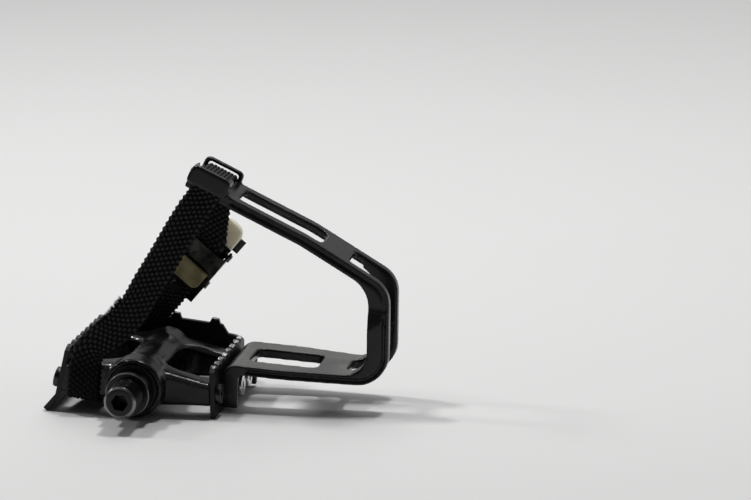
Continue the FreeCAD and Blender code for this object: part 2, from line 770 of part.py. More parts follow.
def rounded(corners):
    """Closed wire through corners given as x, z and a corner radius."""
    count = len(corners)
    spots = [Vector(x, 0, z) for x, z, _ in corners]
    ends = []
    for index, (_, _, radius) in enumerate(corners):
        here = spots[index]
        back = (spots[index - 1] - here).normalize()
        ahead = (spots[(index + 1) % count] - here).normalize()
        if radius == 0:
            ends.append((here, None, here))
            continue
        half = back.getAngle(ahead) / 2
        cut = radius / math.tan(half)
        bisector = (back + ahead).normalize()
        middle = here + bisector * (radius / math.sin(half) - radius)
        ends.append((here + back * cut, middle, here + ahead * cut))
    edges = []
    for index, (first, middle, last) in enumerate(ends):
        if middle:
            edges.append(Part.Arc(first, middle, last).toShape())
        edges.append(Part.makeLine(last, ends[(index + 1) % count][0]))
    return Part.Wire(edges)


def offset_corner(before, here, after, first, second):
    """Corner between two lines moved to their left by two distances; points are (x, z)."""
    (ax, az), (bx, bz), (cx, cz) = before, here, after
    one = Vector(bx - ax, 0, bz - az).normalize()
    two = Vector(cx - bx, 0, cz - bz).normalize()
    start = Vector(bx - one.z * first, 0, bz + one.x * first)
    other = Vector(bx - two.z * second, 0, bz + two.x * second)
    gap = other - start
    run = (gap.x * two.z - gap.z * two.x) / (one.x * two.z - one.z * two.x)
    spot = start + one * run
    return spot.x, spot.z


def plate_x(height):
    """Front plate's outer face at one height."""
    return size("cage_half_length") - height * math.tan(lean_angle)


def clip_lines():
    """Corners of the toe clip's side view: foot side from the plate round to the top, and the outside."""
    rise = size("clip_lower_rise")
    base = (plate_x(rise) + size("fit_clearance"), rise)
    toe = (size("cage_half_length") + size("clip_toe_reach"), size("clip_lower_end_rise"))
    crown = (toe[0] - size("clip_toe_lean"), size("clip_toe_height"))
    knee = (crown[0] - size("clip_knee_back"), crown[1] + size("clip_knee_rise"))
    end = (crown[0] - size("clip_top_back"), crown[1] + size("clip_top_rise"))
    upper = -size("clip_upper_thickness")
    thick = -size("clip_toe_thickness")
    lower = -size("clip_lower_thickness")
    toe_out = offset_corner(base, toe, crown, lower, thick)
    crown_out = offset_corner(toe, crown, knee, thick, upper)
    knee_out = offset_corner(crown, knee, end, upper, upper)
    along = Vector(end[0] - knee[0], 0, end[1] - knee[1]).normalize()
    end_out = (end[0] - along.z * upper, end[1] + along.x * upper)
    return (base, toe, crown, knee, end), (toe_out, crown_out, knee_out, end_out)


FOOT_SIDE, OUT_SIDE = clip_lines()
TOP_END = Vector(OUT_SIDE[3][0], 0, OUT_SIDE[3][1])
TOP_ALONG = (Vector(OUT_SIDE[2][0], 0, OUT_SIDE[2][1]) - TOP_END).normalize()
TOP_UP = Vector(-TOP_ALONG.z, 0, TOP_ALONG.x)
EAR_LENGTH = size("strap_width") + 2 * (size("ear_side_gap") + size("ear_post"))
NEAR_WINDOW = size("strap_thickness") + 2 * size("strap_gap") + size("near_bar_room")


def clip_sides(inset):
    """Space between the clip's two sides, both moved in by an inset: narrower to the toe and the top."""
    _, toe, crown, _, end = FOOT_SIDE
    toe_out = OUT_SIDE[0]
    center = worked(CLIP_CENTER)
    wide = size("clip_base_width") / 2 - inset
    narrow = size("clip_toe_width") / 2 - inset
    slim = size("clip_top_width") / 2 - inset
    taper = size("cage_half_length") + size("clip_flange_depth") + size("clip_taper_start")
    sky = 2 * OUT_SIDE[3][1]
    rear = -size("cage_half_length")
    nose = toe_out[0] + size("fit_clearance") - inset
    slant = (crown[0] - toe[0]) / (crown[1] - toe[1])
    shift = -slant * (sky + toe[1])
    plan = [(rear, wide), (taper, wide), (toe[0], narrow + size("clip_toe_flare")), (nose, narrow)]
    plan += [(x, -y) for x, y in reversed(plan)]
    base = [Vector(x + shift, center + y, -sky) for x, y in plan]
    sides = prism(base, Vector(slant, 0, 1), 2 * sky)
    front_edges = [
        edge for edge in sides.Edges
        if abs(edge.Length - Vector(slant, 0, 1).Length * 2 * sky) < 0.01
        and max(v.X for v in edge.Vertexes) > max(p.x for p in base) - 0.01
    ]
    sides = sides.makeFillet(size("clip_nose_radius"), front_edges)
    face = [(wide, -sky), (wide, toe[1] + 3), (slim, crown[1] - 8), (slim, sky)]
    face += [(-y, z) for y, z in reversed(face)]
    ends = prism([Vector(rear, center + y, z) for y, z in face], Vector(1, 0, 0), 2 * nose - rear)
    return sides.common(ends)


def clip_groove(front):
    """Side view of the groove that follows the clip's outer edge from the flange to the ears."""
    toe_out, crown_out, knee_out, end_out = OUT_SIDE
    base, toe = FOOT_SIDE[:2]
    run = Vector(toe[0] - base[0], 0, toe[1] - base[1]).normalize()
    start_x = front + size("clip_groove_edge") + size("clip_groove_width")
    start = (start_x, toe_out[1] - (toe_out[0] - start_x) * run.z / run.x)
    stop_at = TOP_END + TOP_ALONG * (EAR_LENGTH + size("ear_post"))
    path = [start, toe_out, crown_out, knee_out, (stop_at.x, stop_at.z)]
    radii = [0, size("clip_outer_toe_radius"), size("clip_outer_shoulder_radius"),
             size("clip_knee_radius") + size("clip_upper_thickness"), 0]

    def moved_in(inset):
        first = Vector(path[1][0] - start[0], 0, path[1][1] - start[1]).normalize()
        spots = [(start[0] - first.z * inset, start[1] + first.x * inset)]
        spots += [offset_corner(*path[k - 1:k + 2], inset, inset) for k in (1, 2, 3)]
        spots.append((stop_at.x - TOP_UP.x * inset, stop_at.z - TOP_UP.z * inset))
        return [(x, z, radius - inset if radius else 0) for (x, z), radius in zip(spots, radii)]

    edge = size("clip_groove_edge")
    return rounded(moved_in(edge) + moved_in(edge + size("clip_groove_width"))[::-1])


def rail_hollow():
    """Side view of the hollow on the foot side of the upper rails, from the shoulder to the ears."""
    _, _, crown, knee, end = FOOT_SIDE
    front = crown[0] - size("clip_shoulder_radius") / 2
    rear = end[0] + size("ear_post")
    front_z = crown[1] + (knee[1] - crown[1]) * (crown[0] - front) / (crown[0] - knee[0])
    rear_z = end[1] - (end[1] - knee[1]) * (rear - end[0]) / (knee[0] - end[0])
    line = [(front, front_z), knee, (rear, rear_z)]
    rise = size("rail_relief") / TOP_ALONG.x
    return [(x, z + rise) for x, z in line] + [(x, z - rise) for x, z in reversed(line)]


def far_ear():
    """Upright loop on the far rail: the strap runs out under its bar."""
    post = size("ear_post")
    window = size("ear_window")
    crest = window + size("ear_bar")
    foot = -size("clip_upper_thickness") / 2
    corner = size("ear_corner")
    frame = [(0, foot, 0), (EAR_LENGTH, foot, 0), (EAR_LENGTH, crest, corner), (0, crest, corner)]
    opening = [(post, 0, 0), (EAR_LENGTH - post, 0, 0), (EAR_LENGTH - post, window, 1.0), (post, window, 1.0)]
    through = Vector(0, size("ear_thickness"), 0)
    return Part.Face(rounded(frame)).extrude(through).cut(Part.Face(rounded(opening)).extrude(through))


def near_ear():
    """Deep bar beside the near rail on two posts: the strap runs up behind it and over the rail."""
    post = size("ear_post")
    low, crest = -size("near_bar_drop"), size("near_bar_rise")
    corner = size("near_bar_corner")
    bar = size("near_bar")
    window = NEAR_WINDOW
    inside = size("ear_thickness")
    foot = corner / 2
    view = [(0, low, foot), (EAR_LENGTH, low, foot), (EAR_LENGTH, crest, corner), (0, crest, corner)]
    block = Part.Face(rounded(view)).extrude(Vector(0, bar + window + inside, 0))
    outer = [e for e in block.Edges if max(v.Y for v in e.Vertexes) < 0.01]
    block = block.makeFillet(size("near_bar") / 3, outer)
    room = Part.makeBox(EAR_LENGTH - 2 * post, window + inside, 2 * (crest - low), Vector(post, bar, 2 * low))
    return block.cut(room)


def clip_shape():
    """Moulded toe clip: two rails from a bolted flange round the toe to strap ears at the top."""
    base, toe, crown, knee, end = FOOT_SIDE
    toe_out, crown_out, knee_out, end_out = OUT_SIDE
    half_length = size("cage_half_length")
    drop = size("clip_flange_drop")
    fit = size("fit_clearance")
    depth = size("clip_flange_depth")
    run = Vector(toe[0] - base[0], 0, toe[1] - base[1]).normalize()
    front = plate_x(0) + fit + depth
    under = base[1] + (front - base[0]) * run.z / run.x - size("clip_lower_thickness") / run.x
    view = rounded([
        (plate_x(-drop) + fit, -drop, 0),
        (*base, size("clip_base_radius")),
        (*toe, size("clip_toe_radius")),
        (*crown, size("clip_shoulder_radius")),
        (*knee, size("clip_knee_radius")),
        (*end, 0),
        (*end_out, 0),
        (*knee_out, size("clip_knee_radius") + size("clip_upper_thickness")),
        (*crown_out, size("clip_outer_shoulder_radius")),
        (*toe_out, size("clip_outer_toe_radius")),
        (front, under, 2.0),
        (front + drop * math.tan(lean_angle), -drop, 0),
    ])
    center = worked(CLIP_CENTER)
    wide = size("clip_base_width") / 2
    slim = size("clip_top_width") / 2
    blank = Part.Face(view).extrude(Vector(0, 2 * wide, 0))
    blank.translate(Vector(0, center - wide, 0))

    blank = blank.common(clip_sides(0.0))
    groove = Part.Face(clip_groove(front)).extrude(Vector(0, 2 * wide, 0))
    groove.translate(Vector(0, center - wide, 0))
    blank = blank.cut(groove.cut(clip_sides(size("clip_groove_depth"))))

    sky = 2 * end_out[1]
    nose = 2 * toe_out[0]
    lower_half = wide - size("lower_rail")
    slim_half = slim - size("upper_rail")
    toe_slot = half_length + size("lower_slot_end") + size("lower_bridge")
    crown_slot = crown[0] - size("clip_toe_radius") - 1.5
    middle = (toe[1] + crown[1]) / 2
    slots = [
        slot_box(half_length + size("lower_slot_start"), half_length + size("lower_slot_end"),
                 lower_half, under - 3, middle),
        slot_box(end[0] + size("upper_slot_start"), crown_slot - size("upper_bridge"),
                 slim_half, middle, sky),
        slot_box(toe_slot, nose, slim_half, under - 10, middle + 1),
        slot_box(crown_slot, nose, slim_half, middle, sky),
    ]
    for cutter in slots:
        blank = blank.cut(cutter)

    lip = size("rail_lip")
    hollow = [Vector(x, center - slim + lip, z) for x, z in rail_hollow()]
    blank = blank.cut(prism(hollow, Vector(0, 1, 0), 2 * (slim - lip)))

    rib = size("clip_flange_rib")
    shelf = under - 2.0
    face_x = plate_x(0) + fit + size("clip_flange_plate")
    slope = math.tan(lean_angle)
    pocket = [(face_x - shelf * slope, shelf), (nose, shelf), (nose, -drop - 1),
              (face_x + (drop + 1) * slope, -drop - 1)]
    span = 2 * (wide - rib)
    blank = blank.cut(prism([Vector(x, center - wide + rib, z) for x, z in pocket], Vector(0, 1, 0), span))
    for place in clip_bolt_places:
        blank = blank.cut(plate_hole(place, size("clip_bolt_radius") + fit))
    relief = size("screw_relief")
    for place in screw_places[:2]:
        seat = Part.makeCylinder(size("screw_head_radius") + relief, size("screw_head_height") + relief)
        seat.Placement = place
        blank = blank.cut(seat)

    turn = Rotation(TOP_ALONG, Vector(0, 1, 0), TOP_UP, "XYZ")
    near_y = center - slim - NEAR_WINDOW - size("near_bar")
    far_y = center + slim - size("ear_thickness")
    for ear, y in ((near_ear(), near_y), (far_ear(), far_y)):
        ear.Placement = Placement(TOP_END + Vector(0, y, 0), turn)
        blank = blank.fuse(ear)
    return blank.removeSplitter()


def slot_box(start, stop, half, low, high):
    """Upright cutter with round corners for a slot between the clip's rails."""
    box = Part.makeBox(stop - start, 2 * half, high - low, Vector(start, worked(CLIP_CENTER) - half, low))
    upright = [e for e in box.Edges if abs(e.Vertexes[0].Z - e.Vertexes[-1].Z) > (high - low) / 2]
    return box.makeFillet(half / 3, upright)


toe_clip = solid_node("toe_clip", clip_shape())

# Bolts, washers and nuts of the toe clip: washers on the flange, nuts behind the front plate
flange_face = size("fit_clearance") + size("clip_flange_plate")
washer_place = [p * Placement(Vector(0, 0, flange_face), Rotation()) for p in clip_bolt_places]
head_place = [p * Placement(Vector(0, 0, size("clip_washer_width")), Rotation()) for p in washer_place]
nut_depth = -size("plate_thickness") - size("clip_nut_width")
nut_place = [p * Placement(Vector(0, 0, nut_depth), Rotation()) for p in clip_bolt_places]
GRIP = ("(dims.fit_clearance + dims.clip_flange_plate + dims.clip_washer_width + dims.plate_thickness"
        " + dims.clip_nut_width + dims.clip_bolt_overhang)")
clip_bolts = group(
    "clip_bolts",
    capped("clip_bolt", "dims.clip_bolt_head_radius", "dims.clip_bolt_head_height", "dims.clip_bolt_radius",
           GRIP, "dims.screw_hex_across", "dims.screw_hex_depth"),
    head_place,
)


def holed(name, kind, outer, height, bore):
    """Washer or nut blank with a round hole, standing on z = 0."""
    blank = doc.addObject(kind, f"{name}_blank")
    if kind == "Part::Prism":
        blank.Polygon = 6
        blank.setExpression("Circumradius", outer)
    else:
        blank.setExpression("Radius", outer)
    blank.setExpression("Height", height)
    drill = doc.addObject("Part::Cylinder", f"{name}_drill")
    drill.setExpression("Radius", bore)
    drill.setExpression("Height", f"{height} + 2")
    drill.Placement.Base.z = -1
    cut = doc.addObject("Part::Cut", f"{name}_pattern")
    cut.Base = blank
    cut.Tool = drill
    doc.recompute()
    return cut.Shape


BOLT_BORE = "dims.clip_bolt_radius + dims.fit_clearance"
clip_washers = group(
    "clip_washers",
    holed("clip_washer", "Part::Cylinder", "dims.clip_washer_radius", "dims.clip_washer_width", BOLT_BORE),
    washer_place,
)
clip_nuts = group(
    "clip_nuts",
    holed("clip_nut", "Part::Prism", "dims.clip_nut_across / sqrt(3)", "dims.clip_nut_width", BOLT_BORE),
    nut_place,
)


def buckle_place():
    """Buckle frame: X up the strap, Y across it towards the toe, Z out of the pedal."""
    lean = math.radians(size("buckle_lean"))
    splay = math.radians(size("buckle_splay"))
    along = Vector(math.sin(lean) * math.cos(splay), -math.sin(splay), math.cos(lean) * math.cos(splay))
    out = Vector(0, 1, 0) - along * along.y
    out.normalize()
    across = out.cross(along)
    spot = Vector(size("buckle_x"), worked(CAGE_END) - size("buckle_inset"), size("buckle_z"))
    return Placement(spot, Rotation(along, across, out, "XYZ"))


BUCKLE = buckle_place()
BUCKLE_REST = REST * BUCKLE
# Heights above the running strap's middle in the buckle
HALF_STRAP = "(dims.strap_thickness / 2)"
BASE_TOP = f"(-({HALF_STRAP} + dims.strap_gap))"
BASE_LOW = f"({BASE_TOP} - dims.frame_wall)"
ANCHOR_Z = f"({BASE_LOW} - dims.strap_gap - {HALF_STRAP})"
ROLLER_Z = f"({HALF_STRAP} + dims.strap_gap + dims.roller_radius)"
TAIL_Z = f"(2 * {ROLLER_Z})"
LEVER_Z = f"({TAIL_Z} + {HALF_STRAP} + dims.strap_gap + dims.lever_cam_radius)"
FRAME_TOP = f"({LEVER_Z} + dims.lever_cam_radius)"
INSIDE = "(dims.strap_width / 2 + dims.frame_side_gap)"
OUTSIDE = f"({INSIDE} + dims.frame_wall)"

buckle_frame = new_body("buckle_frame", BUCKLE_REST)
frame_sides = outline(buckle_frame, "frame_sides", "XZ_Plane", [
    ("-dims.frame_half_length", BASE_LOW), ("dims.frame_half_length", BASE_LOW),
    ("dims.frame_half_length", f"{FRAME_TOP} - 2.5"), ("dims.frame_half_length - 2.5", FRAME_TOP),
    ("dims.lever_ahead - 3.5", FRAME_TOP), ("-dims.roller_back - 4", f"{ROLLER_Z} + 3"),
    ("-dims.roller_back - 4", f"{ROLLER_Z} - 2"), ("-dims.frame_half_length", BASE_TOP),
])
feature(buckle_frame, "Pad", "frame_blank", frame_sides, Length=f"2 * {OUTSIDE}", SideType="Symmetric")
channel = outline(buckle_frame, "frame_channel", "YZ_Plane", [
    (f"-{INSIDE}", BASE_TOP), (INSIDE, BASE_TOP),
    (INSIDE, f"{FRAME_TOP} + 1"), (f"-{INSIDE}", f"{FRAME_TOP} + 1"),
])
feature(buckle_frame, "Pocket", "frame_channel_cut", channel, Type="ThroughAll", SideType="Symmetric")
PIN_BORE = "dims.pin_radius + dims.fit_clearance"
pin_holes = circles(buckle_frame, "pin_holes", "XZ_Plane", [
    ("-dims.roller_back", ROLLER_Z, PIN_BORE), ("dims.lever_ahead", LEVER_Z, PIN_BORE)])
feature(buckle_frame, "Pocket", "pin_holes_cut", pin_holes, Type="ThroughAll", SideType="Symmetric")
rivet_hole = circles(buckle_frame, "rivet_hole", "XY_Plane", [
    ("-dims.rivet_back", "0", "dims.rivet_radius + dims.fit_clearance")])
feature(buckle_frame, "Pocket", "rivet_hole_cut", rivet_hole, Type="ThroughAll", SideType="Symmetric")

roller_place = BUCKLE_REST * Placement(Vector(-size("roller_back"), 0, worked(ROLLER_Z)), Rotation())
lever_place = BUCKLE_REST * Placement(Vector(size("lever_ahead"), 0, worked(LEVER_Z)), Rotation())
buckle_roller = turned("buckle_roller", ring_profile(
    "dims.pin_radius + dims.running_clearance", "dims.roller_radius",
    f"-{INSIDE} + dims.roller_side_gap", f"{INSIDE} - dims.roller_side_gap"), roller_place)


def pin(label, place):
    """Headed pin through both walls of the buckle frame."""
    head = "dims.pin_radius + 0.7"
    return turned(label, [
        ("0", f"-{OUTSIDE} - dims.pin_head"), (head, f"-{OUTSIDE} - dims.pin_head"), (head, f"-{OUTSIDE}"),
        ("dims.pin_radius", f"-{OUTSIDE}"), ("dims.pin_radius", OUTSIDE), (head, OUTSIDE),
        (head, f"{OUTSIDE} + dims.pin_head"), ("0", f"{OUTSIDE} + dims.pin_head"),
    ], place)


roller_pin = pin("roller_pin", roller_place)
lever_pin = pin("lever_pin", lever_place)

# Lever: a round cam over the strap's tail and a thumb tab that widens past the frame
buckle_lever = new_body("buckle_lever", lever_place)
CAM = "dims.lever_cam_radius"
TAB_RISE = "1.2"


def lever_top(x):
    """Top of the thumb plate above the lever pin."""
    return f"({CAM} + {TAB_RISE} * ({x}) / dims.lever_reach)"


def round_corner(angle):
    """Point on the cam's outline."""
    return (f"{CAM} * cos({angle} deg)", f"{CAM} * sin({angle} deg)")


cam_view = outline(buckle_lever, "lever_view", "XZ_Plane", [
    ("0", f"-{CAM}"), round_corner(240), round_corner(210),
    (f"-{CAM}", "0"), round_corner(150), round_corner(120),
    ("0", CAM), ("dims.lever_reach", lever_top("dims.lever_reach")),
    ("dims.lever_reach", f"{lever_top('dims.lever_reach')} - dims.lever_plate"),
    (f"{CAM} + 1", f"{lever_top(CAM + ' + 1')} - dims.lever_plate"),
    (CAM, "0"), round_corner(330), round_corner(300),
])
feature(buckle_lever, "Pad", "lever_cam", cam_view, Length=f"2 * ({INSIDE} - dims.lever_side_gap)",
        SideType="Symmetric")
TAB_START = "(dims.frame_half_length - dims.lever_ahead + 0.8)"
tab_view = outline(buckle_lever, "thumb_view", "XZ_Plane", [
    (TAB_START, lever_top(TAB_START)), ("dims.lever_reach", lever_top("dims.lever_reach")),
    ("dims.lever_reach", f"{lever_top('dims.lever_reach')} - dims.lever_plate"),
    (TAB_START, f"{lever_top(TAB_START)} - dims.lever_plate"),
])
feature(buckle_lever, "Pad", "thumb_tab", tab_view, Length="2 * dims.lever_tab_half", SideType="Symmetric")
SPRING_HALF = "(dims.spring_turns * dims.spring_pitch / 2 + 1.2)"
notch = outline(buckle_lever, "spring_notch", "YZ_Plane", [
    (f"-{SPRING_HALF}", f"-{CAM} - 1"), (SPRING_HALF, f"-{CAM} - 1"),
    (SPRING_HALF, f"{CAM} - 0.1"), (f"-{SPRING_HALF}", f"{CAM} - 0.1"),
], offset=f"-{CAM} - 1")
feature(buckle_lever, "Pocket", "spring_notch_cut", notch,
        Type="Length", Length=f"2 * {CAM} + 1.6", Reversed=True)
lever_bore = circles(buckle_lever, "lever_bore", "XZ_Plane", [
    ("0", "0", "dims.pin_radius + dims.running_clearance")])
feature(buckle_lever, "Pocket", "lever_bore_cut", lever_bore, Type="ThroughAll", SideType="Symmetric")


def spring_shape():
    """Short coil about the lever pin with a straight leg at each end."""
    wire = size("spring_wire")
    coil = size("pin_radius") + 0.2 + wire
    pitch = size("spring_pitch")
    turns = int(size("spring_turns"))
    leg = size("lever_cam_radius") - wire
    steps = 16
    stops = [(0.0, -leg, 0.0)]
    stops += [(360.0 * step / steps, 0.0, pitch * step / steps) for step in range(turns * steps + 1)]
    stops.append((0.0, leg, pitch * turns))
    rings = []
    for angle, shift, height in stops:
        turn = math.radians(angle)
        radial = Vector(math.cos(turn), math.sin(turn), 0)
        spot = radial * coil + Vector(0, shift, height - pitch * turns / 2)
        corners = []
        for side in range(8):
            spin = math.radians(45 * side)
            corners.append(spot + radial * (wire * math.cos(spin)) + Vector(0, 0, wire * math.sin(spin)))
        rings.append(Part.makePolygon([*corners, corners[0]]))
    body = Part.makeLoft(rings, True, True)
    body.rotate(Vector(), Vector(1, 0, 0), -90)
    return body


lever_spring = solid_node("lever_spring", spring_shape(), lever_place)


def rivet_shape():
    """Rivet that holds the strap's fixed end to the buckle frame."""
    radius = size("rivet_radius")
    head = size("rivet_head_radius")
    thick = size("rivet_head_height")
    top = worked(BASE_TOP)
    low = worked(ANCHOR_Z) - size("strap_thickness") / 2
    spot = Vector(-size("rivet_back"), 0, 0)
    shank = Part.makeCylinder(radius, top - low, spot + Vector(0, 0, low))
    upper = Part.makeCylinder(head, thick, spot + Vector(0, 0, top))
    lower = Part.makeCylinder(head, thick, spot + Vector(0, 0, low - thick))
    return shank.fuse([upper, lower]).removeSplitter()


strap_rivet = solid_node("strap_rivet", rivet_shape(), BUCKLE_REST)


def strap_stations():
    """Middle points of the strap and its direction across, from the riveted end to the tail."""
    half = size("strap_thickness") / 2
    gap = size("strap_gap")
    along = BUCKLE.Rotation.multVec(Vector(1, 0, 0))
    across = BUCKLE.Rotation.multVec(Vector(0, 1, 0))
    level = Vector(1, 0, 0)

    def in_buckle(x, z, aside=0.0):
        return BUCKLE.multVec(Vector(x, aside * size("strap_skew"), z)), across

    anchor = worked(ANCHOR_Z)
    stations = [in_buckle(-size("anchor_end"), anchor), in_buckle(-size("frame_half_length"), anchor)]
    leave = stations[-1][0]

    bend = size("strap_bend") + gap + half
    floor = -size("arm_root_half") - gap - half
    far_x = size("strap_far_x")
    near_x = size("strap_near_x")
    far_y = (worked(BODY_END) + size("cap_flange_width") + worked(CAGE_END) - size("plate_thickness")) / 2
    near_y = worked(ARM_NEAR) - gap - half
    enter = Vector(far_x, far_y, size("arm_end_half"))
    for share in (0.15, 0.5, 0.85):
        spot = leave + (enter - leave) * share
        stations.append((spot, across + (level - across) * share))

    def under_arm(x, center_y, angle):
        turn = math.radians(angle)
        return Vector(x, center_y + bend * math.cos(turn), floor + bend + bend * math.sin(turn)), level

    stations += [under_arm(far_x, far_y - bend, angle) for angle in (0, -22.5, -45, -67.5, -90)]
    stations += [under_arm(near_x, near_y + bend, angle) for angle in (-90, -112.5, -135, -157.5, -180)]

    top_spot = TOP_END + TOP_ALONG * (EAR_LENGTH / 2)
    hug = 0.4
    sweep = hug + gap + half
    slim = size("clip_top_width") / 2

    def over_top(side, angle):
        turn = math.radians(angle)
        y = worked(CLIP_CENTER) + side * (slim - hug + sweep * math.cos(turn))
        return top_spot + Vector(0, y, 0) + TOP_UP * (sweep * math.sin(turn) - hug), TOP_ALONG

    start = Vector(near_x + 0.6, near_y + 0.8, size("arm_end_half") + 8)
    finish = over_top(-1, 0)[0] - TOP_UP * 4
    stations.append((Vector(near_x, near_y, size("arm_end_half") + 2), level))
    spots = []
    for step in range(10):
        share = step / 9
        bow = size("near_bow") * 6.75 * share * (1 - share) ** 2
        spots.append(start + (finish - start) * share + Vector(bow, 0, 0))
    for step, spot in enumerate(spots):
        run = spots[min(step + 1, 9)] - spots[max(step - 1, 0)]
        side = Vector(run.z, 0, -run.x).normalize()
        share = step / 9
        blend_in = min(1.0, 3 * share)
        stations.append((spot, level * (1 - blend_in) + side * blend_in))
    stations += [over_top(-1, angle) for angle in (0, 22.5, 45, 67.5, 90)]
    stations += [over_top(1, angle) for angle in (90, 67.5, 45, 22.5, 0)]
    last = stations[-1][0] - TOP_UP * 4
    straight = size("frame_half_length") + size("strap_thickness")
    meet = in_buckle(straight, 0.0, -1.0)[0]
    for share in (0.0, 0.35, 0.7):
        spot = last + (meet - last) * share
        stations.append((spot, TOP_ALONG + (across - TOP_ALONG) * share))
    stations += [in_buckle(x, 0.0, -1.0) for x in (straight, size("lever_ahead"), 0.0)]
    roll = worked(ROLLER_Z)
    for angle in (0, 30, 60, 90, 120, 150, 180):
        turn = math.radians(angle)
        spot = (-size("roller_back") - roll * math.sin(turn), roll - roll * math.cos(turn))
        stations.append(in_buckle(*spot, -math.cos(turn)))
    stations += [in_buckle(x, 2 * roll, 1.0) for x in (size("lever_ahead"), size("tail_end"))]
    return stations


def ribbon(stations):
    """Flat band of the strap's section along its stations."""
    wide = size("strap_width") / 2
    thick = size("strap_thickness") / 2
    sections = []
    for index, (spot, across) in enumerate(stations):
        ahead = stations[min(index + 1, len(stations) - 1)][0]
        behind = stations[max(index - 1, 0)][0]
        run = (ahead - behind).normalize()
        side = (across - run * across.dot(run)).normalize()
        face = side.cross(run)
        corners = [
            spot + side * (wide * a) + face * (thick * b)
            for a, b in ((1, 1), (-1, 1), (-1, -1), (1, -1))
        ]
        sections.append(Part.makePolygon([*corners, corners[0]]))
    return Part.makeLoft(sections, True, True)


def strap_shape():
    """Webbing strap with the hole for its rivet."""
    band = ribbon(strap_stations())
    hole = Part.makeCylinder(size("rivet_radius") + size("fit_clearance"), 4 * size("strap_thickness"),
                             Vector(-size("rivet_back"), 0, worked(ANCHOR_Z) - 2 * size("strap_thickness")))
    hole.Placement = BUCKLE
    return band.cut(hole)


strap = solid_node("strap", strap_shape())


def tip_shape():
    """Moulded end on the strap's tail, round at the front."""
    start = size("tail_end") + size("fit_clearance")
    wide = size("strap_width") / 2
    thick = size("tip_thickness")
    low = worked(TAIL_Z) - thick / 2
    box = Part.makeBox(size("tip_length"), 2 * wide, thick, Vector(start, size("strap_skew") - wide, low))
    end = start + size("tip_length")
    upright = [
        edge for edge in box.Edges
        if min(v.X for v in edge.Vertexes) > end - 0.01
        and abs(edge.Vertexes[0].Z - edge.Vertexes[-1].Z) > thick / 2
    ]
    return box.makeFillet(wide * 0.8, upright)


strap_tip = solid_node("strap_tip", tip_shape(), BUCKLE_REST)


def pad_shape():
    """Pad on the buckle's base, between buckle and shoe."""
    thick = size("pad_thickness")
    top = worked(BASE_LOW) - size("pad_gap")
    wide = size("pad_half_width")
    start = -size("pad_start")
    end = size("pad_end")
    plate = Part.makeBox(end - start, 2 * wide, thick, Vector(start, -wide, top - thick))
    upright = [e for e in plate.Edges if abs(e.Vertexes[0].Z - e.Vertexes[-1].Z) > thick / 2]
    lower_end = [e for e in upright if e.Vertexes[0].X < (start + end) / 2]
    return plate.makeFillet(size("pad_corner"), lower_end)


buckle_pad = solid_node("buckle_pad", pad_shape(), BUCKLE_REST)

NODES = [
    spindle, pedal_body, cage, cage_screws, spindle_seal, inner_cup, inner_balls, outer_cup, outer_balls,
    adjusting_cone, lock_washer, lock_nut, dust_cap, toe_clip, clip_bolts, clip_washers, clip_nuts, strap,
    strap_tip, strap_rivet, buckle_frame, buckle_roller, roller_pin, buckle_lever, lever_pin, lever_spring,
    buckle_pad,
]
doc.recompute()
for item in doc.Objects:
    if "Invalid" in item.State or "Error" in item.State:
        raise RuntimeError(f"{item.Name} failed: {item.State}")
for node in NODES:
    if node.Shape.isNull() or not node.Shape.isValid():
        raise RuntimeError(f"{node.Label} has no valid shape")
os.makedirs("parts", exist_ok=True)
for node in NODES:
    node.Shape.exportStep(f"parts/{node.Label}.step")
    box = node.Shape.BoundBox
    spans = [(box.XMin, box.XMax), (box.YMin, box.YMax), (box.ZMin, box.ZMax)]
    reach_text = " ".join(f"{low:.1f}..{high:.1f}" for low, high in spans)
    print(f"{node.Label}: {len(node.Shape.Solids)} solids, {node.Shape.Volume:.1f} mm3, {reach_text}")
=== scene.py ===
"""A toe clip pedal in a studio: cast body, steel cage, nylon toe clip, woven strap and buckle."""

import logging
import math
import random
from abc import ABC, abstractmethod
from collections import defaultdict
from dataclasses import dataclass, field
from enum import Enum
from typing import Any, Iterable, Optional, Union

import bmesh
import bpy
import numpy as np
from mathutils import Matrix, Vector


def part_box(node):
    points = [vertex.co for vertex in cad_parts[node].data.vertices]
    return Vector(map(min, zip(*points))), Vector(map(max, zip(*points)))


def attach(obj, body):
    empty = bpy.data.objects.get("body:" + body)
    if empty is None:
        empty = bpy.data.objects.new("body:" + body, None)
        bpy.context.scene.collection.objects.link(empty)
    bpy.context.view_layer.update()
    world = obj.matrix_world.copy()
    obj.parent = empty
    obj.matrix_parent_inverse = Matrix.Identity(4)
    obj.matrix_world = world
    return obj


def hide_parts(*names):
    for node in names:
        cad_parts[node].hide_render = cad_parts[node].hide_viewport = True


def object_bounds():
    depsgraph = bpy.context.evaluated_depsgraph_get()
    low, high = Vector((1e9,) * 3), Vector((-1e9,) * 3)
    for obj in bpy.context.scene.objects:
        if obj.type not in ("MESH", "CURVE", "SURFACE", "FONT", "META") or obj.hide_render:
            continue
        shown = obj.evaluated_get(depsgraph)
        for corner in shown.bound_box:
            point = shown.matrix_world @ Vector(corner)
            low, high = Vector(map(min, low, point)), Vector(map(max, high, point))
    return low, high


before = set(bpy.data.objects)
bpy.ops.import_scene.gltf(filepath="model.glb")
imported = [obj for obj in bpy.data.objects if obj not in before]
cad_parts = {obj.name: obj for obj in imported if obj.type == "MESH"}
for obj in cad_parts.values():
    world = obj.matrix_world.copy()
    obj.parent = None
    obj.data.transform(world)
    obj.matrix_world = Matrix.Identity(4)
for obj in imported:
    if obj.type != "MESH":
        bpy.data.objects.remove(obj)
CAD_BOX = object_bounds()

logger = logging.getLogger("pedal")

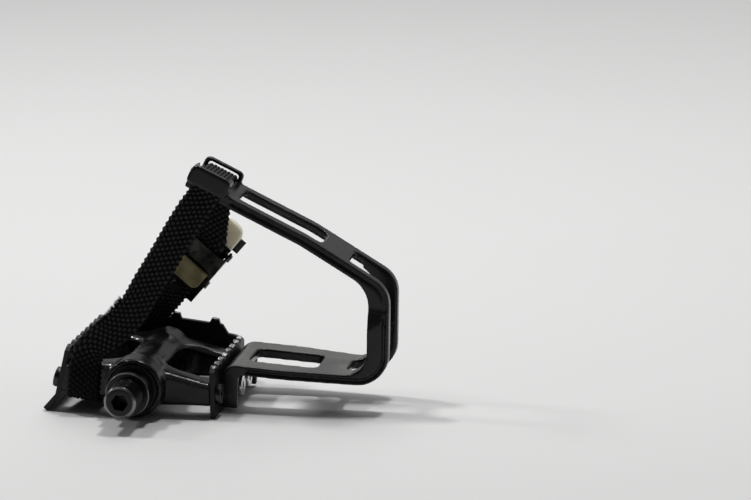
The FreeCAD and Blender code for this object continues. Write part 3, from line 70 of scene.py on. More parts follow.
MM = 0.001
MM_PER_METRE = 1000.0
WELD = 1e-6
FLAT_ANGLE = math.radians(0.5)
SHARP_ANGLE = math.radians(38)
RELAX_STEP = 0.5
IMAGE_WIDTH = 751
REST_PITCH = math.radians(6.24)
CROWN = "yarn_crown"

Colour = tuple[float, float, float]
Place = tuple[float, float, float]
Stretch = tuple[float, float, float]
Band = tuple[float, float]
Settings = dict[str, Any]
Spot = tuple[int, ...]


class Body(Enum):
    """The pedal's moving bodies."""

    PEDAL = "pedal"
    AXLE = "axle"


class Slot(Enum):
    """Finish slot names; no piece in this script is given one."""

    CAST = "cast_body"
    SPINDLE = "spindle_steel"
    NYLON = "nylon"
    WEBBING = "webbing"


class Value:
    """A shader socket that stands in Python expressions; each operation adds one Math node."""

    def __init__(self, kit: "NodeKit", socket: bpy.types.NodeSocket) -> None:
        self.kit = kit
        self.socket = socket

    def _join(self, operation: str, *terms: "Number") -> "Value":
        """Adds a Math node on the given terms."""
        made = self.kit.node("ShaderNodeMath", {"operation": operation}, dict(enumerate(terms)))
        return Value(self.kit, made.outputs[0])

    def __add__(self, other: "Number") -> "Value":
        """Sum."""
        return self._join("ADD", self, other)

    def __radd__(self, other: "Number") -> "Value":
        """Sum with the number first."""
        return self._join("ADD", other, self)

    def __sub__(self, other: "Number") -> "Value":
        """Difference."""
        return self._join("SUBTRACT", self, other)

    def __rsub__(self, other: "Number") -> "Value":
        """Difference with the number first."""
        return self._join("SUBTRACT", other, self)

    def __mul__(self, other: "Number") -> "Value":
        """Product."""
        return self._join("MULTIPLY", self, other)

    def __rmul__(self, other: "Number") -> "Value":
        """Product with the number first."""
        return self._join("MULTIPLY", other, self)

    def __abs__(self) -> "Value":
        """Size without its sign."""
        return self._join("ABSOLUTE", self)

    def largest(self, other: "Number") -> "Value":
        """Larger of two values."""
        return self._join("MAXIMUM", self, other)

    def root(self) -> "Value":
        """Square root."""
        return self._join("SQRT", self)


Number = Union[float, Value]


class NodeKit:
    """Builds the node tree of one material or world."""

    def __init__(self, owner: Union[bpy.types.Material, bpy.types.World]) -> None:
        """Starts an empty tree.

        Args:
            owner: Material or world that the tree belongs to.
        """
        owner.use_nodes = True
        self.tree = owner.node_tree
        self.tree.nodes.clear()

    def node(self, kind: str, settings: Optional[Settings] = None,
             inputs: Optional[dict[Union[str, int], Any]] = None) -> bpy.types.Node:
        """Adds a node: its settings first, then its sockets' values or links.

        Args:
            kind: Blender's node type.
            settings: Properties of the node.
            inputs: Values or links by socket name or number.

        Returns:
            The new node.
        """
        made = self.tree.nodes.new(kind)
        for key, value in (settings or {}).items():
            setattr(made, key, value)
        for key, value in (inputs or {}).items():
            self.plug(made.inputs[key], value)
        return made

    def plug(self, socket: bpy.types.NodeSocket, value: Any) -> None:
        """Sets a socket to a number or colour, or links it to a value."""
        if isinstance(value, Value):
            self.tree.links.new(value.socket, socket)
        elif isinstance(value, tuple) and socket.type == "RGBA":
            socket.default_value = (*value, 1.0)
        else:
            socket.default_value = value

    def place(self) -> tuple[Value, Value, Value]:
        """Point on the surface of the level pedal, in millimetres: forward, outboard and up."""
        coordinates = self.node("ShaderNodeTexCoord")
        turned = self.node(
            "ShaderNodeVectorRotate", {"rotation_type": "Y_AXIS"},
            {"Vector": Value(self, coordinates.outputs["Object"]), "Angle": -REST_PITCH})
        parts = self.node("ShaderNodeSeparateXYZ", inputs={0: Value(self, turned.outputs[0])})
        x, y, z = (Value(self, output) for output in parts.outputs)
        return x * MM_PER_METRE, y * MM_PER_METRE, z * MM_PER_METRE

    def upward(self) -> Value:
        """How far the surface looks up: 1 on level tops, 0 on upright walls."""
        normal = Value(self, self.node("ShaderNodeTexCoord").outputs["Normal"])
        return Value(self, self.node("ShaderNodeSeparateXYZ", inputs={0: normal}).outputs["Z"])

    def vector(self, x: Number, y: Number, z: Number) -> Value:
        """Vector of three values."""
        return Value(self, self.node("ShaderNodeCombineXYZ", inputs={0: x, 1: y, 2: z}).outputs[0])

    def noise(self, scale: float, detail: float, vector: Optional[Value] = None) -> Value:
        """Soft noise from 0 to 1.

        Args:
            scale: Cycles per unit of the vector, a metre where it is left out.
            detail: Octaves.
            vector: Place to read the noise at.

        Returns:
            The noise.
        """
        if vector is None:
            vector = Value(self, self.node("ShaderNodeTexCoord").outputs["Object"])
        made = self.node(
            "ShaderNodeTexNoise", inputs={"Vector": vector, "Scale": scale, "Detail": detail})
        return Value(self, made.outputs[0])

    def strokes(self, stretch: Stretch, detail: float) -> Value:
        """Noise drawn out into strokes along the axes of the level pedal.

        Args:
            stretch: Cycles per millimetre forward, outboard and up.
            detail: Octaves.

        Returns:
            The noise.
        """
        drawn = self.vector(*(way * scale for way, scale in zip(self.place(), stretch)))
        return self.noise(1.0, detail, drawn)

    def ramp(self, value: Value, band: Band) -> Value:
        """Smooth step of a value from 0 at the band's start to 1 at its end."""
        made = self.node("ShaderNodeMapRange", {"interpolation_type": "SMOOTHSTEP"},
                         {"Value": value, "From Min": band[0], "From Max": band[1]})
        return Value(self, made.outputs[0])

    def mix(self, share: Number, first: Any, second: Any) -> Value:
        """Colour between two colours."""
        made = self.node("ShaderNodeMix", {"data_type": "RGBA"}, {0: share, 6: first, 7: second})
        return Value(self, made.outputs[2])

    def bump(self, height: Value, depth: float, strength: float) -> Value:
        """Normal tilted by a height from 0 to 1 that stands for a depth in metres."""
        made = self.node(
            "ShaderNodeBump", inputs={"Strength": strength, "Distance": depth, "Height": height})
        return Value(self, made.outputs[0])

    def attribute(self, name: str) -> Value:
        """Number kept for each vertex of the mesh, 0 where the mesh has none."""
        made = self.node("ShaderNodeAttribute", {"attribute_name": name})
        return Value(self, made.outputs["Fac"])

    def surface(self, **inputs: Any) -> None:
        """Closes a material's tree with a surface shader.

        Args:
            inputs: Sockets of the shader, with _ for the spaces in their names.
        """
        named = {key.replace("_", " "): value for key, value in inputs.items()}
        shader = self.node("ShaderNodeBsdfPrincipled", inputs=named)
        self.node("ShaderNodeOutputMaterial", inputs={"Surface": Value(self, shader.outputs[0])})

    def sky(self, colour: Value) -> None:
        """Closes a world's tree with a background of the given colour."""
        shader = self.node("ShaderNodeBackground", inputs={"Color": colour})
        self.node("ShaderNodeOutputWorld", inputs={"Surface": Value(self, shader.outputs[0])})


@dataclass(frozen=True)
class Finish(ABC):
    """A surface finish that can be applied to pieces."""

    name: str

    @abstractmethod
    def paint(self, kit: NodeKit) -> None:
        """Builds the finish in a material's tree."""

    def dress(self, *pieces: bpy.types.Object) -> None:
        """Gives pieces this finish.

        Args:
            pieces: Objects whose surfaces take it.
        """
        material = bpy.data.materials.get(self.name)
        if material is None:
            material = bpy.data.materials.new(self.name)
            self.paint(NodeKit(material))
        for piece in pieces:
            piece.data.materials.clear()
            piece.data.materials.append(material)


@dataclass(frozen=True)
class CastPaint(Finish):
    """Black satin paint on a casting, uneven and dusty, rubbed shiny on the arms' shoulders."""

    dark: Colour = (0.003, 0.003, 0.0033)
    dusty: Colour = (0.007, 0.007, 0.0073)
    patch_scale: float = 90.0
    patch_band: Band = (0.35, 0.75)
    grit_scale: float = 1500.0
    relief: float = 0.06 * MM
    roughness: float = 0.16
    arm_band: Band = (9.0, 12.0)
    wall_band: Band = (0.15, 0.35)
    top_band: Band = (0.75, 0.9)

    def paint(self, kit: NodeKit) -> None:
        """Builds the finish in a material's tree."""
        patches = kit.ramp(kit.noise(self.patch_scale, detail=4.0), self.patch_band)
        grit = kit.noise(self.grit_scale, detail=3.0)
        upward = kit.upward()
        forward, _, _ = kit.place()
        on_arms = kit.ramp(abs(forward), self.arm_band)
        off_walls = kit.ramp(upward, self.wall_band)
        shoulders = on_arms * off_walls * (1.0 - kit.ramp(upward, self.top_band))
        kit.surface(
            Base_Color=kit.mix(patches, self.dark, self.dusty),
            Roughness=self.roughness + 0.14 * patches + 0.06 * grit,
            Specular_IOR_Level=0.26,
            Coat_Weight=shoulders,
            Coat_Roughness=0.25,
            Coat_IOR=2.0,
            Normal=kit.bump(grit, self.relief, strength=0.35),
        )


@dataclass(frozen=True)
class CageCoat(Finish):
    """Black coat on sheet steel, worn through to bright metal on the teeth, less so at the rear."""

    coat: Colour = (0.006, 0.006, 0.0065)
    bright: Colour = (0.5, 0.495, 0.475)
    chip_scale: float = 420.0
    fleck_scale: float = 1300.0
    grain_scale: float = 2400.0
    relief: float = 0.08 * MM
    roughness: float = 0.36
    plate_band: Band = (28.0, 29.0)
    tooth_band: Band = (10.4, 11.9)
    front_band: Band = (-1.0, 1.0)
    rear_wear: float = 0.22
    fleck_band: Band = (0.98, 1.14)
    nub_band: Band = (8.65, 9.1)
    nub_wear: float = 0.7

    def paint(self, kit: NodeKit) -> None:
        """Builds the finish in a material's tree."""
        x, _, z = kit.place()
        chips = kit.noise(self.chip_scale, detail=5.0)
        flecks = kit.noise(self.fleck_scale, detail=3.0)
        grain = kit.noise(self.grain_scale, detail=2.0)
        on_plate = kit.ramp(abs(x), self.plate_band)
        front = self.rear_wear + (1.0 - self.rear_wear) * kit.ramp(x, self.front_band)
        rubbed = kit.ramp(z, self.tooth_band) * 0.6 + chips * 0.4 + flecks * 0.6
        worn_teeth = on_plate * front * kit.ramp(rubbed, self.fleck_band)
        worn_nubs = kit.ramp(z * 0.5 + chips * 2.0, self.nub_band)
        worn = worn_teeth.largest(worn_nubs * self.nub_wear)
        kit.surface(
            Base_Color=kit.mix(worn, self.coat, self.bright),
            Metallic=worn,
            Roughness=self.roughness + 0.12 * chips - 0.06 * worn,
            Specular_IOR_Level=0.25,
            Normal=kit.bump(chips * 0.7 + grain * 0.3, self.relief, strength=0.4),
        )


@dataclass(frozen=True)
class Nylon(Finish):
    """Black moulded nylon, dulled in patches and scuffed; its level tops are painted paler as a
    painted sheen with some dust, and rubbed glossy.
    """

    dark: Colour = (0.008, 0.008, 0.0085)
    dull: Colour = (0.024, 0.024, 0.0238)
    # Paler colour of level tops: a painted sheen, partly dust.
    dusty: Colour = (0.105, 0.102, 0.094)
    patch_scale: float = 55.0
    patch_band: Band = (0.3, 0.8)
    scuff_stretch: Stretch = (0.12, 2.2, 0.4)
    scuff_band: Band = (0.55, 0.75)
    grain_scale: float = 2200.0
    relief: float = 0.05 * MM
    roughness: float = 0.2
    level_band: Band = (0.92, 0.985)
    level_sheen: float = 0.6

    def paint(self, kit: NodeKit) -> None:
        """Builds the finish in a material's tree."""
        patches = kit.ramp(kit.noise(self.patch_scale, detail=4.0), self.patch_band)
        scuffs = kit.ramp(kit.strokes(self.scuff_stretch, detail=5.0), self.scuff_band)
        grain = kit.noise(self.grain_scale, detail=2.0)
        tops = kit.ramp(kit.upward(), self.level_band)
        # Level tops are painted paler in patches: painted sheen with some dust.
        dust_and_sheen = tops * (0.55 + 0.45 * patches)
        black = kit.mix(patches * 0.6 + scuffs * 0.4, self.dark, self.dull)
        kit.surface(
            Base_Color=kit.mix(dust_and_sheen, black, self.dusty),
            Roughness=self.roughness + 0.14 * patches + 0.1 * scuffs,
            Specular_IOR_Level=0.25,
            Coat_Weight=self.level_sheen * tops,
            Coat_Roughness=0.22,
            Normal=kit.bump(grain * 0.6 + scuffs * 0.4, self.relief, strength=0.35),
        )


@dataclass(frozen=True)
class TurnedSteel(Finish):
    """Dark turned steel with fine rings round its axis, its two rims painted bright as worn metal
    and painted highlight.
    """

    dark: Colour = (0.026, 0.026, 0.0265)
    # Bright metal of the two rims: wear and painted highlight.
    bright: Colour = (0.2, 0.198, 0.19)
    rings_out: float = 5.0
    rings_along: float = 9.0
    rub_scale: float = 260.0
    relief: float = 0.02 * MM
    roughness: float = 0.2
    end_rim: Band = (5.6, 6.0)
    end_depth: Band = (-11.6, -11.0)
    flange_rim: Band = (9.1, 9.3)
    flange_depth: Band = (0.4, 0.8)
    highlight_and_wear_band: Band = (0.6, 1.0)

    def paint(self, kit: NodeKit) -> None:
        """Builds the finish in a material's tree."""
        x, y, z = kit.place()
        radius = (x * x + z * z).root()
        turning = kit.vector(radius * self.rings_out, y * self.rings_along, 0.0)
        rings = kit.noise(1.0, detail=3.0, vector=turning)
        rub = kit.noise(self.rub_scale, detail=4.0)
        # The end rim and flange rim are painted bright: painted highlight, with some wear.
        end = kit.ramp(radius, self.end_rim) * (1.0 - kit.ramp(y, self.end_depth))
        flange = kit.ramp(radius, self.flange_rim) * (1.0 - kit.ramp(y, self.flange_depth))
        worn = kit.ramp(end.largest(flange) * 0.6 + rub * 0.8, self.highlight_and_wear_band)
        kit.surface(
            Base_Color=kit.mix(worn, self.dark, self.bright),
            Metallic=1.0,
            Roughness=self.roughness + 0.14 * rings + 0.08 * rub,
            Normal=kit.bump(rings, self.relief, strength=0.25),
        )


@dataclass(frozen=True)
class PlatedSteel(Finish):
    """Plated steel with a brushed grain and greyed patches."""

    bright: Colour = (0.56, 0.56, 0.57)
    grey: Colour = (0.24, 0.235, 0.225)
    polish: float = 0.2
    grain_stretch: Stretch = (0.8, 6.0, 6.0)
    stain_scale: float = 330.0
    stain_band: Band = (0.42, 0.72)
    relief: float = 0.02 * MM

    def paint(self, kit: NodeKit) -> None:
        """Builds the finish in a material's tree."""
        grain = kit.strokes(self.grain_stretch, detail=3.0)
        stains = kit.ramp(kit.noise(self.stain_scale, detail=5.0), self.stain_band)
        kit.surface(
            Base_Color=kit.mix(stains, self.bright, self.grey),
            Metallic=1.0,
            Roughness=self.polish + 0.2 * stains + 0.08 * grain,
            Normal=kit.bump(grain, self.relief, strength=0.3),
        )


@dataclass(frozen=True)
class Cream(Finish):
    """Cream leather or soft plastic, pored, with brown grime in patches."""

    clean: Colour = (0.58, 0.53, 0.4)
    grime: Colour = (0.16, 0.125, 0.06)
    grime_scale: float = 150.0
    grime_band: Band = (0.45, 0.75)
    pore_scale: float = 1300.0
    relief: float = 0.12 * MM
    gloss: float = 0.55
    glow: float = 0.0
    glow_depth: float = 4.0 * MM
    glow_tint: Colour = (1.0, 0.95, 0.8)

    def paint(self, kit: NodeKit) -> None:
        """Builds the finish in a material's tree."""
        stains = kit.ramp(kit.noise(self.grime_scale, detail=5.0), self.grime_band)
        pores = kit.noise(self.pore_scale, detail=3.0)
        kit.surface(
            Base_Color=kit.mix(stains * 0.75 + 0.15 * pores, self.clean, self.grime),
            Roughness=self.gloss + 0.2 * pores - 0.08 * stains,
            Subsurface_Weight=self.glow,
            Subsurface_Radius=self.glow_tint,
            Subsurface_Scale=self.glow_depth,
            Specular_IOR_Level=0.35,
            Normal=kit.bump(pores, self.relief, strength=0.5),
        )


@dataclass(frozen=True)
class Webbing(Finish):
    """Black yarn whose crowns are painted paler than its hollows, as painted highlight and painted
    shade with some dust, a little shiny on the crowns and plainer near the ground.
    """

    dark: Colour = (0.006, 0.006, 0.006)
    # Paler colour painted on the yarn's crowns: painted highlight, varied by dust.
    bloom: Colour = (0.025, 0.0247, 0.024)
    fibre_scale: float = 4200.0
    dust_scale: float = 240.0
    dust_band: Band = (0.35, 0.8)
    relief: float = 0.12 * MM
    roughness: float = 0.7
    weave_band: Band = (3.0, 15.0)
    plain_share: float = 0.25
    sheen: float = 0.5

    def paint(self, kit: NodeKit) -> None:
        """Builds the finish in a material's tree."""
        fibres = kit.noise(self.fibre_scale, detail=2.0)
        dust_and_sheen = kit.ramp(kit.noise(self.dust_scale, detail=4.0), self.dust_band)
        _, _, height = kit.place()
        # The crowns' paler paint and sheen fade out towards the ground.
        woven = self.plain_share + (1.0 - self.plain_share) * kit.ramp(height, self.weave_band)
        crown = kit.attribute(CROWN) * woven
        # Crowns paler and hollows near black: painted highlight and painted shade in the weave.
        kit.surface(
            Base_Color=kit.mix(crown * (0.4 + 0.4 * dust_and_sheen + 0.2 * fibres), self.dark, self.bloom),
            Roughness=self.roughness + 0.15 * fibres,
            Specular_IOR_Level=0.04,
            Coat_Weight=self.sheen * crown,
            Coat_Roughness=0.4,
            Normal=kit.bump(fibres, self.relief, strength=0.5),
        )


@dataclass(frozen=True)
class SoftBlack(Finish):
    """Matt black rubber or plastic with a fine grain."""

    dark: Colour = (0.006, 0.006, 0.006)
    pale: Colour = (0.02, 0.02, 0.02)
    bloom_scale: float = 200.0
    bloom_band: Band = (0.4, 0.8)
    grain_scale: float = 1800.0
    relief: float = 0.05 * MM
    roughness: float = 0.5

    def paint(self, kit: NodeKit) -> None:
        """Builds the finish in a material's tree."""
        bloom = kit.ramp(kit.noise(self.bloom_scale, detail=4.0), self.bloom_band)
        grain = kit.noise(self.grain_scale, detail=2.0)
        kit.surface(
            Base_Color=kit.mix(bloom, self.dark, self.pale),
            Roughness=self.roughness + 0.15 * grain,
            Specular_IOR_Level=0.35,
            Normal=kit.bump(grain, self.relief, strength=0.4),
        )


@dataclass(frozen=True)
class PaleFloor(Finish):
    """Plain pale paper of a studio floor."""

    tone: Colour = (0.74, 0.74, 0.735)
    shade: Colour = (0.71, 0.71, 0.705)
    cloud_scale: float = 3.0
    roughness: float = 0.7

    def paint(self, kit: NodeKit) -> None:
        """Builds the finish in a material's tree."""
        cloudy = kit.noise(self.cloud_scale, detail=2.0)
        kit.surface(
            Base_Color=kit.mix(cloudy, self.tone, self.shade),
            Roughness=self.roughness + 0.1 * cloudy,
            Specular_IOR_Level=0.15,
        )


CAST_PAINT = CastPaint("cast_paint")
CAGE_COAT = CageCoat("cage_coat")
NYLON = Nylon("clip_nylon")
SPINDLE_STEEL = TurnedSteel("turned_steel")
PLATED = PlatedSteel("plated_steel")
SCREW_BLACK = PlatedSteel(
    "screw_black", bright=(0.05, 0.05, 0.05), grey=(0.018, 0.017, 0.016), polish=0.26)
# Buckle steel made near black: dark metal darkened further as painted shade.
BUCKLE_STEEL_AND_SHADE = PlatedSteel(
    "buckle_steel_and_shade", bright=(0.036, 0.035, 0.033), grey=(0.011, 0.0105, 0.01), polish=0.24)
BEARING_STEEL = PlatedSteel(
    "polished_steel", bright=(0.6, 0.6, 0.6), grey=(0.4, 0.4, 0.4), polish=0.12)
PAD_CREAM = Cream("pad_cream", clean=(0.34, 0.3, 0.15), grime_band=(0.36, 0.66))
TIP_CREAM = Cream(
    "tip_cream", clean=(0.83, 0.8, 0.69), grime_band=(0.6, 0.9), gloss=0.42, glow=1.0)
WEBBING = Webbing("black_yarn")
SEAL_RUBBER = SoftBlack("matt_rubber", roughness=0.6)
CAP_PLASTIC = SoftBlack("satin_plastic", roughness=0.38)
FLOOR_PAPER = PaleFloor("floor_paper")


def cad(name: str) -> bpy.types.Object:
    """CAD node by name."""
    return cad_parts[name]


def link(name: str, mesh: bpy.types.Mesh) -> bpy.types.Object:
    """New object in the scene.

    Args:
        name: Its name.
        mesh: Its mesh.

    Returns:
        The object.
    """
    made = bpy.data.objects.new(name, mesh)
    bpy.context.scene.collection.objects.link(made)
    return made


def mesh_from(name: str, points: np.ndarray, faces: Iterable[Iterable[int]]) -> bpy.types.Mesh:
    """Smooth-shaded mesh of points and faces.

    Args:
        name: Name of the mesh.
        points: One row for each vertex, in metres.
        faces: Vertex numbers of each face.

    Returns:
        The mesh.
    """
    mesh = bpy.data.meshes.new(name)
    mesh.from_pydata([tuple(point) for point in points], [], [tuple(face) for face in faces])
    mesh.validate()
    mesh.polygons.foreach_set("use_smooth", [True] * len(mesh.polygons))
    mesh.update()
    return mesh


def tube_faces(rings: int, count: int, start: int = 0) -> list[list[int]]:
    """Faces of a closed tube: its two ends and the quads between neighbouring rings.

    Args:
        rings: How many rings of vertices it has.
        count: Vertices in each ring.
        start: Number of its first vertex.

    Returns:
        Vertex numbers of each face.
    """
    faces = [[start + column for column in reversed(range(count))]]
    for row in range(rings - 1):
        here = start + row * count
        ahead = here + count
        for column in range(count):
            after = (column + 1) % count
            faces.append([here + column, here + after, ahead + after, ahead + column])
    last = start + (rings - 1) * count
    faces.append([last + column for column in range(count)])
    return faces


def stand_for(piece: bpy.types.Object, node: str, body: Body) -> None:
    """Puts a new piece in the place of a CAD node.

    Args:
        piece: The new piece.
        node: Node that it stands for.
        body: Body that it moves with.
    """
    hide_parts(node)
    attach(piece, body.value)
    logger.info("%s stands for %s: %d faces", piece.name, node, len(piece.data.polygons))


def points_of(mesh: bpy.types.Mesh) -> np.ndarray:
    """Vertex places of a mesh, one row each."""
    flat = np.empty(len(mesh.vertices) * 3)
    mesh.vertices.foreach_get("co", flat)
    return flat.reshape(-1, 3)


def level(points: np.ndarray) -> np.ndarray:
    """Points of the resting pedal turned back to its level frame."""
    c, s = math.cos(REST_PITCH), math.sin(REST_PITCH)
    return points @ np.array([[c, 0.0, s], [0.0, 1.0, 0.0], [-s, 0.0, c]])


def resting(points: np.ndarray) -> np.ndarray:
    """Points of the level pedal pitched down to how it rests."""
    c, s = math.cos(REST_PITCH), math.sin(REST_PITCH)
    return points @ np.array([[c, 0.0, -s], [0.0, 1.0, 0.0], [s, 0.0, c]])


def fine_copy(name: str, node: str, grain: float) -> bpy.types.Object:
    """Copy of a CAD node with an even, fine mesh.

    Args:
        name: Name of the copy.
        node: Node to copy.
        grain: Size of the new faces, in metres.

    Returns:
        The copy.
    """
    mesh = cad(node).data.copy()
    shell = bmesh.new()
    shell.from_mesh(mesh)
    bmesh.ops.remove_doubles(shell, verts=shell.verts, dist=WELD)
    shell.to_mesh(mesh)
    shell.free()
    made = link(name, mesh)
    remesh = made.modifiers.new("even_faces", "REMESH")
    remesh.mode = "VOXEL"
    remesh.voxel_size = grain
    graph = bpy.context.evaluated_depsgraph_get()
    made.data = bpy.data.meshes.new_from_object(made.evaluated_get(graph))
    made.modifiers.clear()
    made.data.polygons.foreach_set("use_smooth", [True] * len(made.data.polygons))
    return made


def relax(mesh: bpy.types.Mesh, passes: int, weight: np.ndarray) -> None:
    """Rounds a mesh by moving each vertex towards the middle of its neighbours.

    Args:
        mesh: Mesh to round.
        passes: How many times.
        weight: Share of the move that each vertex makes.
    """
    ends = np.empty(len(mesh.edges) * 2, np.int32)
    mesh.edges.foreach_get("vertices", ends)
    first, second = ends[0::2], ends[1::2]
    points = points_of(mesh)
    count = len(points)
    both = np.concatenate([first, second])
    others = np.concatenate([second, first])
    degree = np.maximum(np.bincount(both, minlength=count), 1)
    for _ in range(passes):
        for axis in range(3):
            middle = np.bincount(both, points[others, axis], minlength=count) / degree
            points[:, axis] += RELAX_STEP * weight * (middle - points[:, axis])
    mesh.vertices.foreach_set("co", points.ravel())
    mesh.update()


def break_edges(node: str, width: float, sides: int = 2) -> None:
    """Rounds a CAD node's sharp edges with modifiers.

    Args:
        node: Node to round.
        width: Width of the rounding, in metres.
        sides: Faces across it.
    """
    piece = cad(node)
    piece.modifiers.new("join", "WELD").merge_threshold = WELD
    flats = piece.modifiers.new("flats", "DECIMATE")
    flats.decimate_type = "DISSOLVE"
    flats.angle_limit = FLAT_ANGLE
    edges = piece.modifiers.new("edges", "BEVEL")
    edges.limit_method = "ANGLE"
    edges.angle_limit = SHARP_ANGLE
    edges.width = width
    edges.segments = sides
    edges.use_clamp_overlap = True
    edges.harden_normals = True


class Assembly(ABC):
    """A part of the scene that builds itself."""

    @abstractmethod
    def build(self) -> None:
        """Makes and dresses its pieces."""


@dataclass
class CastBody(Assembly):
    """The pedal's cast body: barrel and four arms that blend into each other."""

    grain: float = 0.52 * MM
    passes: int = 20
    bore: float = 10.75 * MM
    plate_end: float = 27.5 * MM
    plate_blend: float = 3.5 * MM
    calm: float = 0.12

    def build(self) -> None:
        """Makes the body with rounded castings and puts it in the node's place."""
        piece = fine_copy("cast_body", "pedal_body", self.grain)
        spots = level(points_of(piece.data))
        inward = self.plate_end + self.plate_blend - np.abs(spots[:, 0])
        reach = np.clip(inward / self.plate_blend, 0.0, 1.0)
        outside = np.hypot(spots[:, 0], spots[:, 2]) > self.bore
        weight = np.where(outside, self.calm + (1.0 - self.calm) * reach, self.calm)
        relax(piece.data, self.passes, weight)
        CAST_PAINT.dress(piece)
        stand_for(piece, "pedal_body", Body.PEDAL)


@dataclass
class Cage(Assembly):
    """The folded steel cage with its screws."""

    edge: float = 0.3 * MM
    screw_edge: float = 0.35 * MM

    def build(self) -> None:
        """Rounds the edges and dresses the nodes."""
        break_edges("cage", self.edge)
        CAGE_COAT.dress(cad("cage"))
        break_edges("cage_screws", self.screw_edge)
        SCREW_BLACK.dress(cad("cage_screws"))
        logger.info("cage and its screws are dressed")


@dataclass
class Spindle(Assembly):
    """The turned spindle: threaded end, hexagon socket, flange, wrench flats and bearing seats.

    The seats are places along the axis with their radii, in millimetres.
    """

    segments: int = 120
    thread_radius: float = 7.14 * MM
    thread_length: float = 13.0 * MM
    thread_depth: float = 0.72 * MM
    pitch: float = 1.27 * MM
    chamfer: float = 1.2 * MM
    socket_across: float = 6.0 * MM
    socket_depth: float = 8.0 * MM
    mouth: float = 0.35 * MM
    flange_radius: float = 9.5 * MM
    flange_width: float = 3.0 * MM
    flats_end: float = 8.0 * MM
    flats_half: float = 7.5 * MM
    edge: float = 0.35 * MM
    shoulder_gap: float = 0.01 * MM
    core: float = 0.05 * MM
    core_share: float = 0.05
    crest_slope: float = 1.25
    crest_flat: float = 0.12
    run_out_from: float = 0.6 * MM
    run_out_length: float = 0.8 * MM
    smooth_angle: float = math.radians(32)
    thread_steps: int = 110
    seats: tuple[tuple[float, float], ...] = (
        (8.0, 8.2), (12.8, 8.2), (12.8, 6.2), (20.0, 6.2), (23.0, 5.0), (58.8, 5.0), (58.8, 4.0),
        (73.6, 4.0), (74.3, 3.3),
    )

    def thread(self, y: float, turn: np.ndarray) -> np.ndarray:
        """Radius of the left-hand thread at one place along the axis.

        Args:
            y: Place along the axis.
            turn: Angles round the axis.

        Returns:
            A radius for each angle.
        """
        along = (y / self.pitch + turn / (2.0 * math.pi)) % 1.0
        crest = np.clip(np.abs(2.0 * along - 1.0) * self.crest_slope - self.crest_flat, 0.0, 1.0)
        run_out = min(1.0, max(0.0, (-y - self.run_out_from) / self.run_out_length))
        cone = self.thread_radius - self.chamfer + (y + self.thread_length)
        return np.minimum(self.thread_radius - self.thread_depth * crest * run_out, cone)

    def rings(self) -> list[np.ndarray]:
        """Rings of points from the socket's floor to the far end.

        Returns:
            One array of points for each ring, in the level frame.
        """
        turn = np.linspace(0.0, 2.0 * math.pi, self.segments, endpoint=False)
        hexagon = self.socket_across / 2.0 / np.cos(turn % (math.pi / 3.0) - math.pi / 6.0)
        start = -self.thread_length
        whole = np.ones_like(turn)
        places: list[tuple[float, np.ndarray]] = [
            (start + self.socket_depth, hexagon * self.core_share),
            (start + self.socket_depth, hexagon),
            (start + self.mouth, hexagon),
            (start, hexagon + self.mouth),
            (start, (self.thread_radius - self.chamfer - self.edge) * whole),
        ]
        for step in range(1, self.thread_steps + 1):
            y = start + self.thread_length * step / self.thread_steps
            places.append((y, self.thread(y, turn)))
        wide = self.flange_radius
        places += [
            (0.0, (wide - self.edge) * whole),
            (self.edge, wide * whole),
            (self.flange_width - self.edge, wide * whole),
            (self.flange_width, (wide - self.edge) * whole),
        ]
        made = [self.ring(y, radius, turn) for y, radius in places]
        for y in (self.flange_width + self.shoulder_gap, self.flats_end - self.shoulder_gap):
            band = self.ring(y, wide * whole, turn)
            band[:, 2] = np.clip(band[:, 2], -self.flats_half, self.flats_half)
            made.append(band)
        made += [self.ring(y * MM, radius * MM * whole, turn) for y, radius in self.seats]
        made.append(self.ring(self.seats[-1][0] * MM, self.core * whole, turn))
        return made

    @staticmethod
    def ring(y: float, radius: np.ndarray, turn: np.ndarray) -> np.ndarray:
        """One ring of points about the spindle axis."""
        x, z = radius * np.cos(turn), radius * np.sin(turn)
        return np.stack([x, np.full_like(turn, y), z], axis=1)

    def build(self) -> None:
        """Makes the spindle and puts it in the node's place."""
        rings = self.rings()
        faces = tube_faces(len(rings), self.segments)
        points = resting(np.concatenate(rings))
        piece = link("threaded_spindle", mesh_from("threaded_spindle", points, faces))
        shell = bmesh.new()
        shell.from_mesh(piece.data)
        bmesh.ops.recalc_face_normals(shell, faces=shell.faces)
        for edge in shell.edges:
            edge.smooth = len(edge.link_faces) < 2 or edge.calc_face_angle() < self.smooth_angle
        shell.to_mesh(piece.data)
        shell.free()
        SPINDLE_STEEL.dress(piece)
        stand_for(piece, "spindle", Body.AXLE)


@dataclass
class Bearings(Assembly):
    """Seal, cups, balls, cone, lock washer, lock nut and cap round the spindle."""

    steel: tuple[str, ...] = (
        "inner_cup", "inner_balls", "outer_cup", "outer_balls", "adjusting_cone", "lock_washer",
        "lock_nut")
    cap_edge: float = 0.3 * MM

    def build(self) -> None:
        """Dresses the nodes."""
        BEARING_STEEL.dress(*[cad(name) for name in self.steel])
        SEAL_RUBBER.dress(cad("spindle_seal"))
        break_edges("dust_cap", self.cap_edge)
        CAP_PLASTIC.dress(cad("dust_cap"))
        logger.info("bearings are dressed")


@dataclass
class ToeClip(Assembly):
    """The moulded toe clip with soft edges, and its bolts, washers and nuts."""

    grain: float = 0.5 * MM
    passes: int = 7
    hardware: tuple[str, ...] = ("clip_bolts", "clip_washers", "clip_nuts")
    hardware_edge: float = 0.3 * MM

    def build(self) -> None:
        """Makes the clip and dresses its hardware."""
        piece = fine_copy("moulded_toe_clip", "toe_clip", self.grain)
        relax(piece.data, self.passes, np.ones(len(piece.data.vertices)))
        NYLON.dress(piece)
        stand_for(piece, "toe_clip", Body.PEDAL)
        for name in self.hardware:
            break_edges(name, self.hardware_edge)
            PLATED.dress(cad(name))
        logger.info("toe clip's bolts, washers and nuts are dressed")


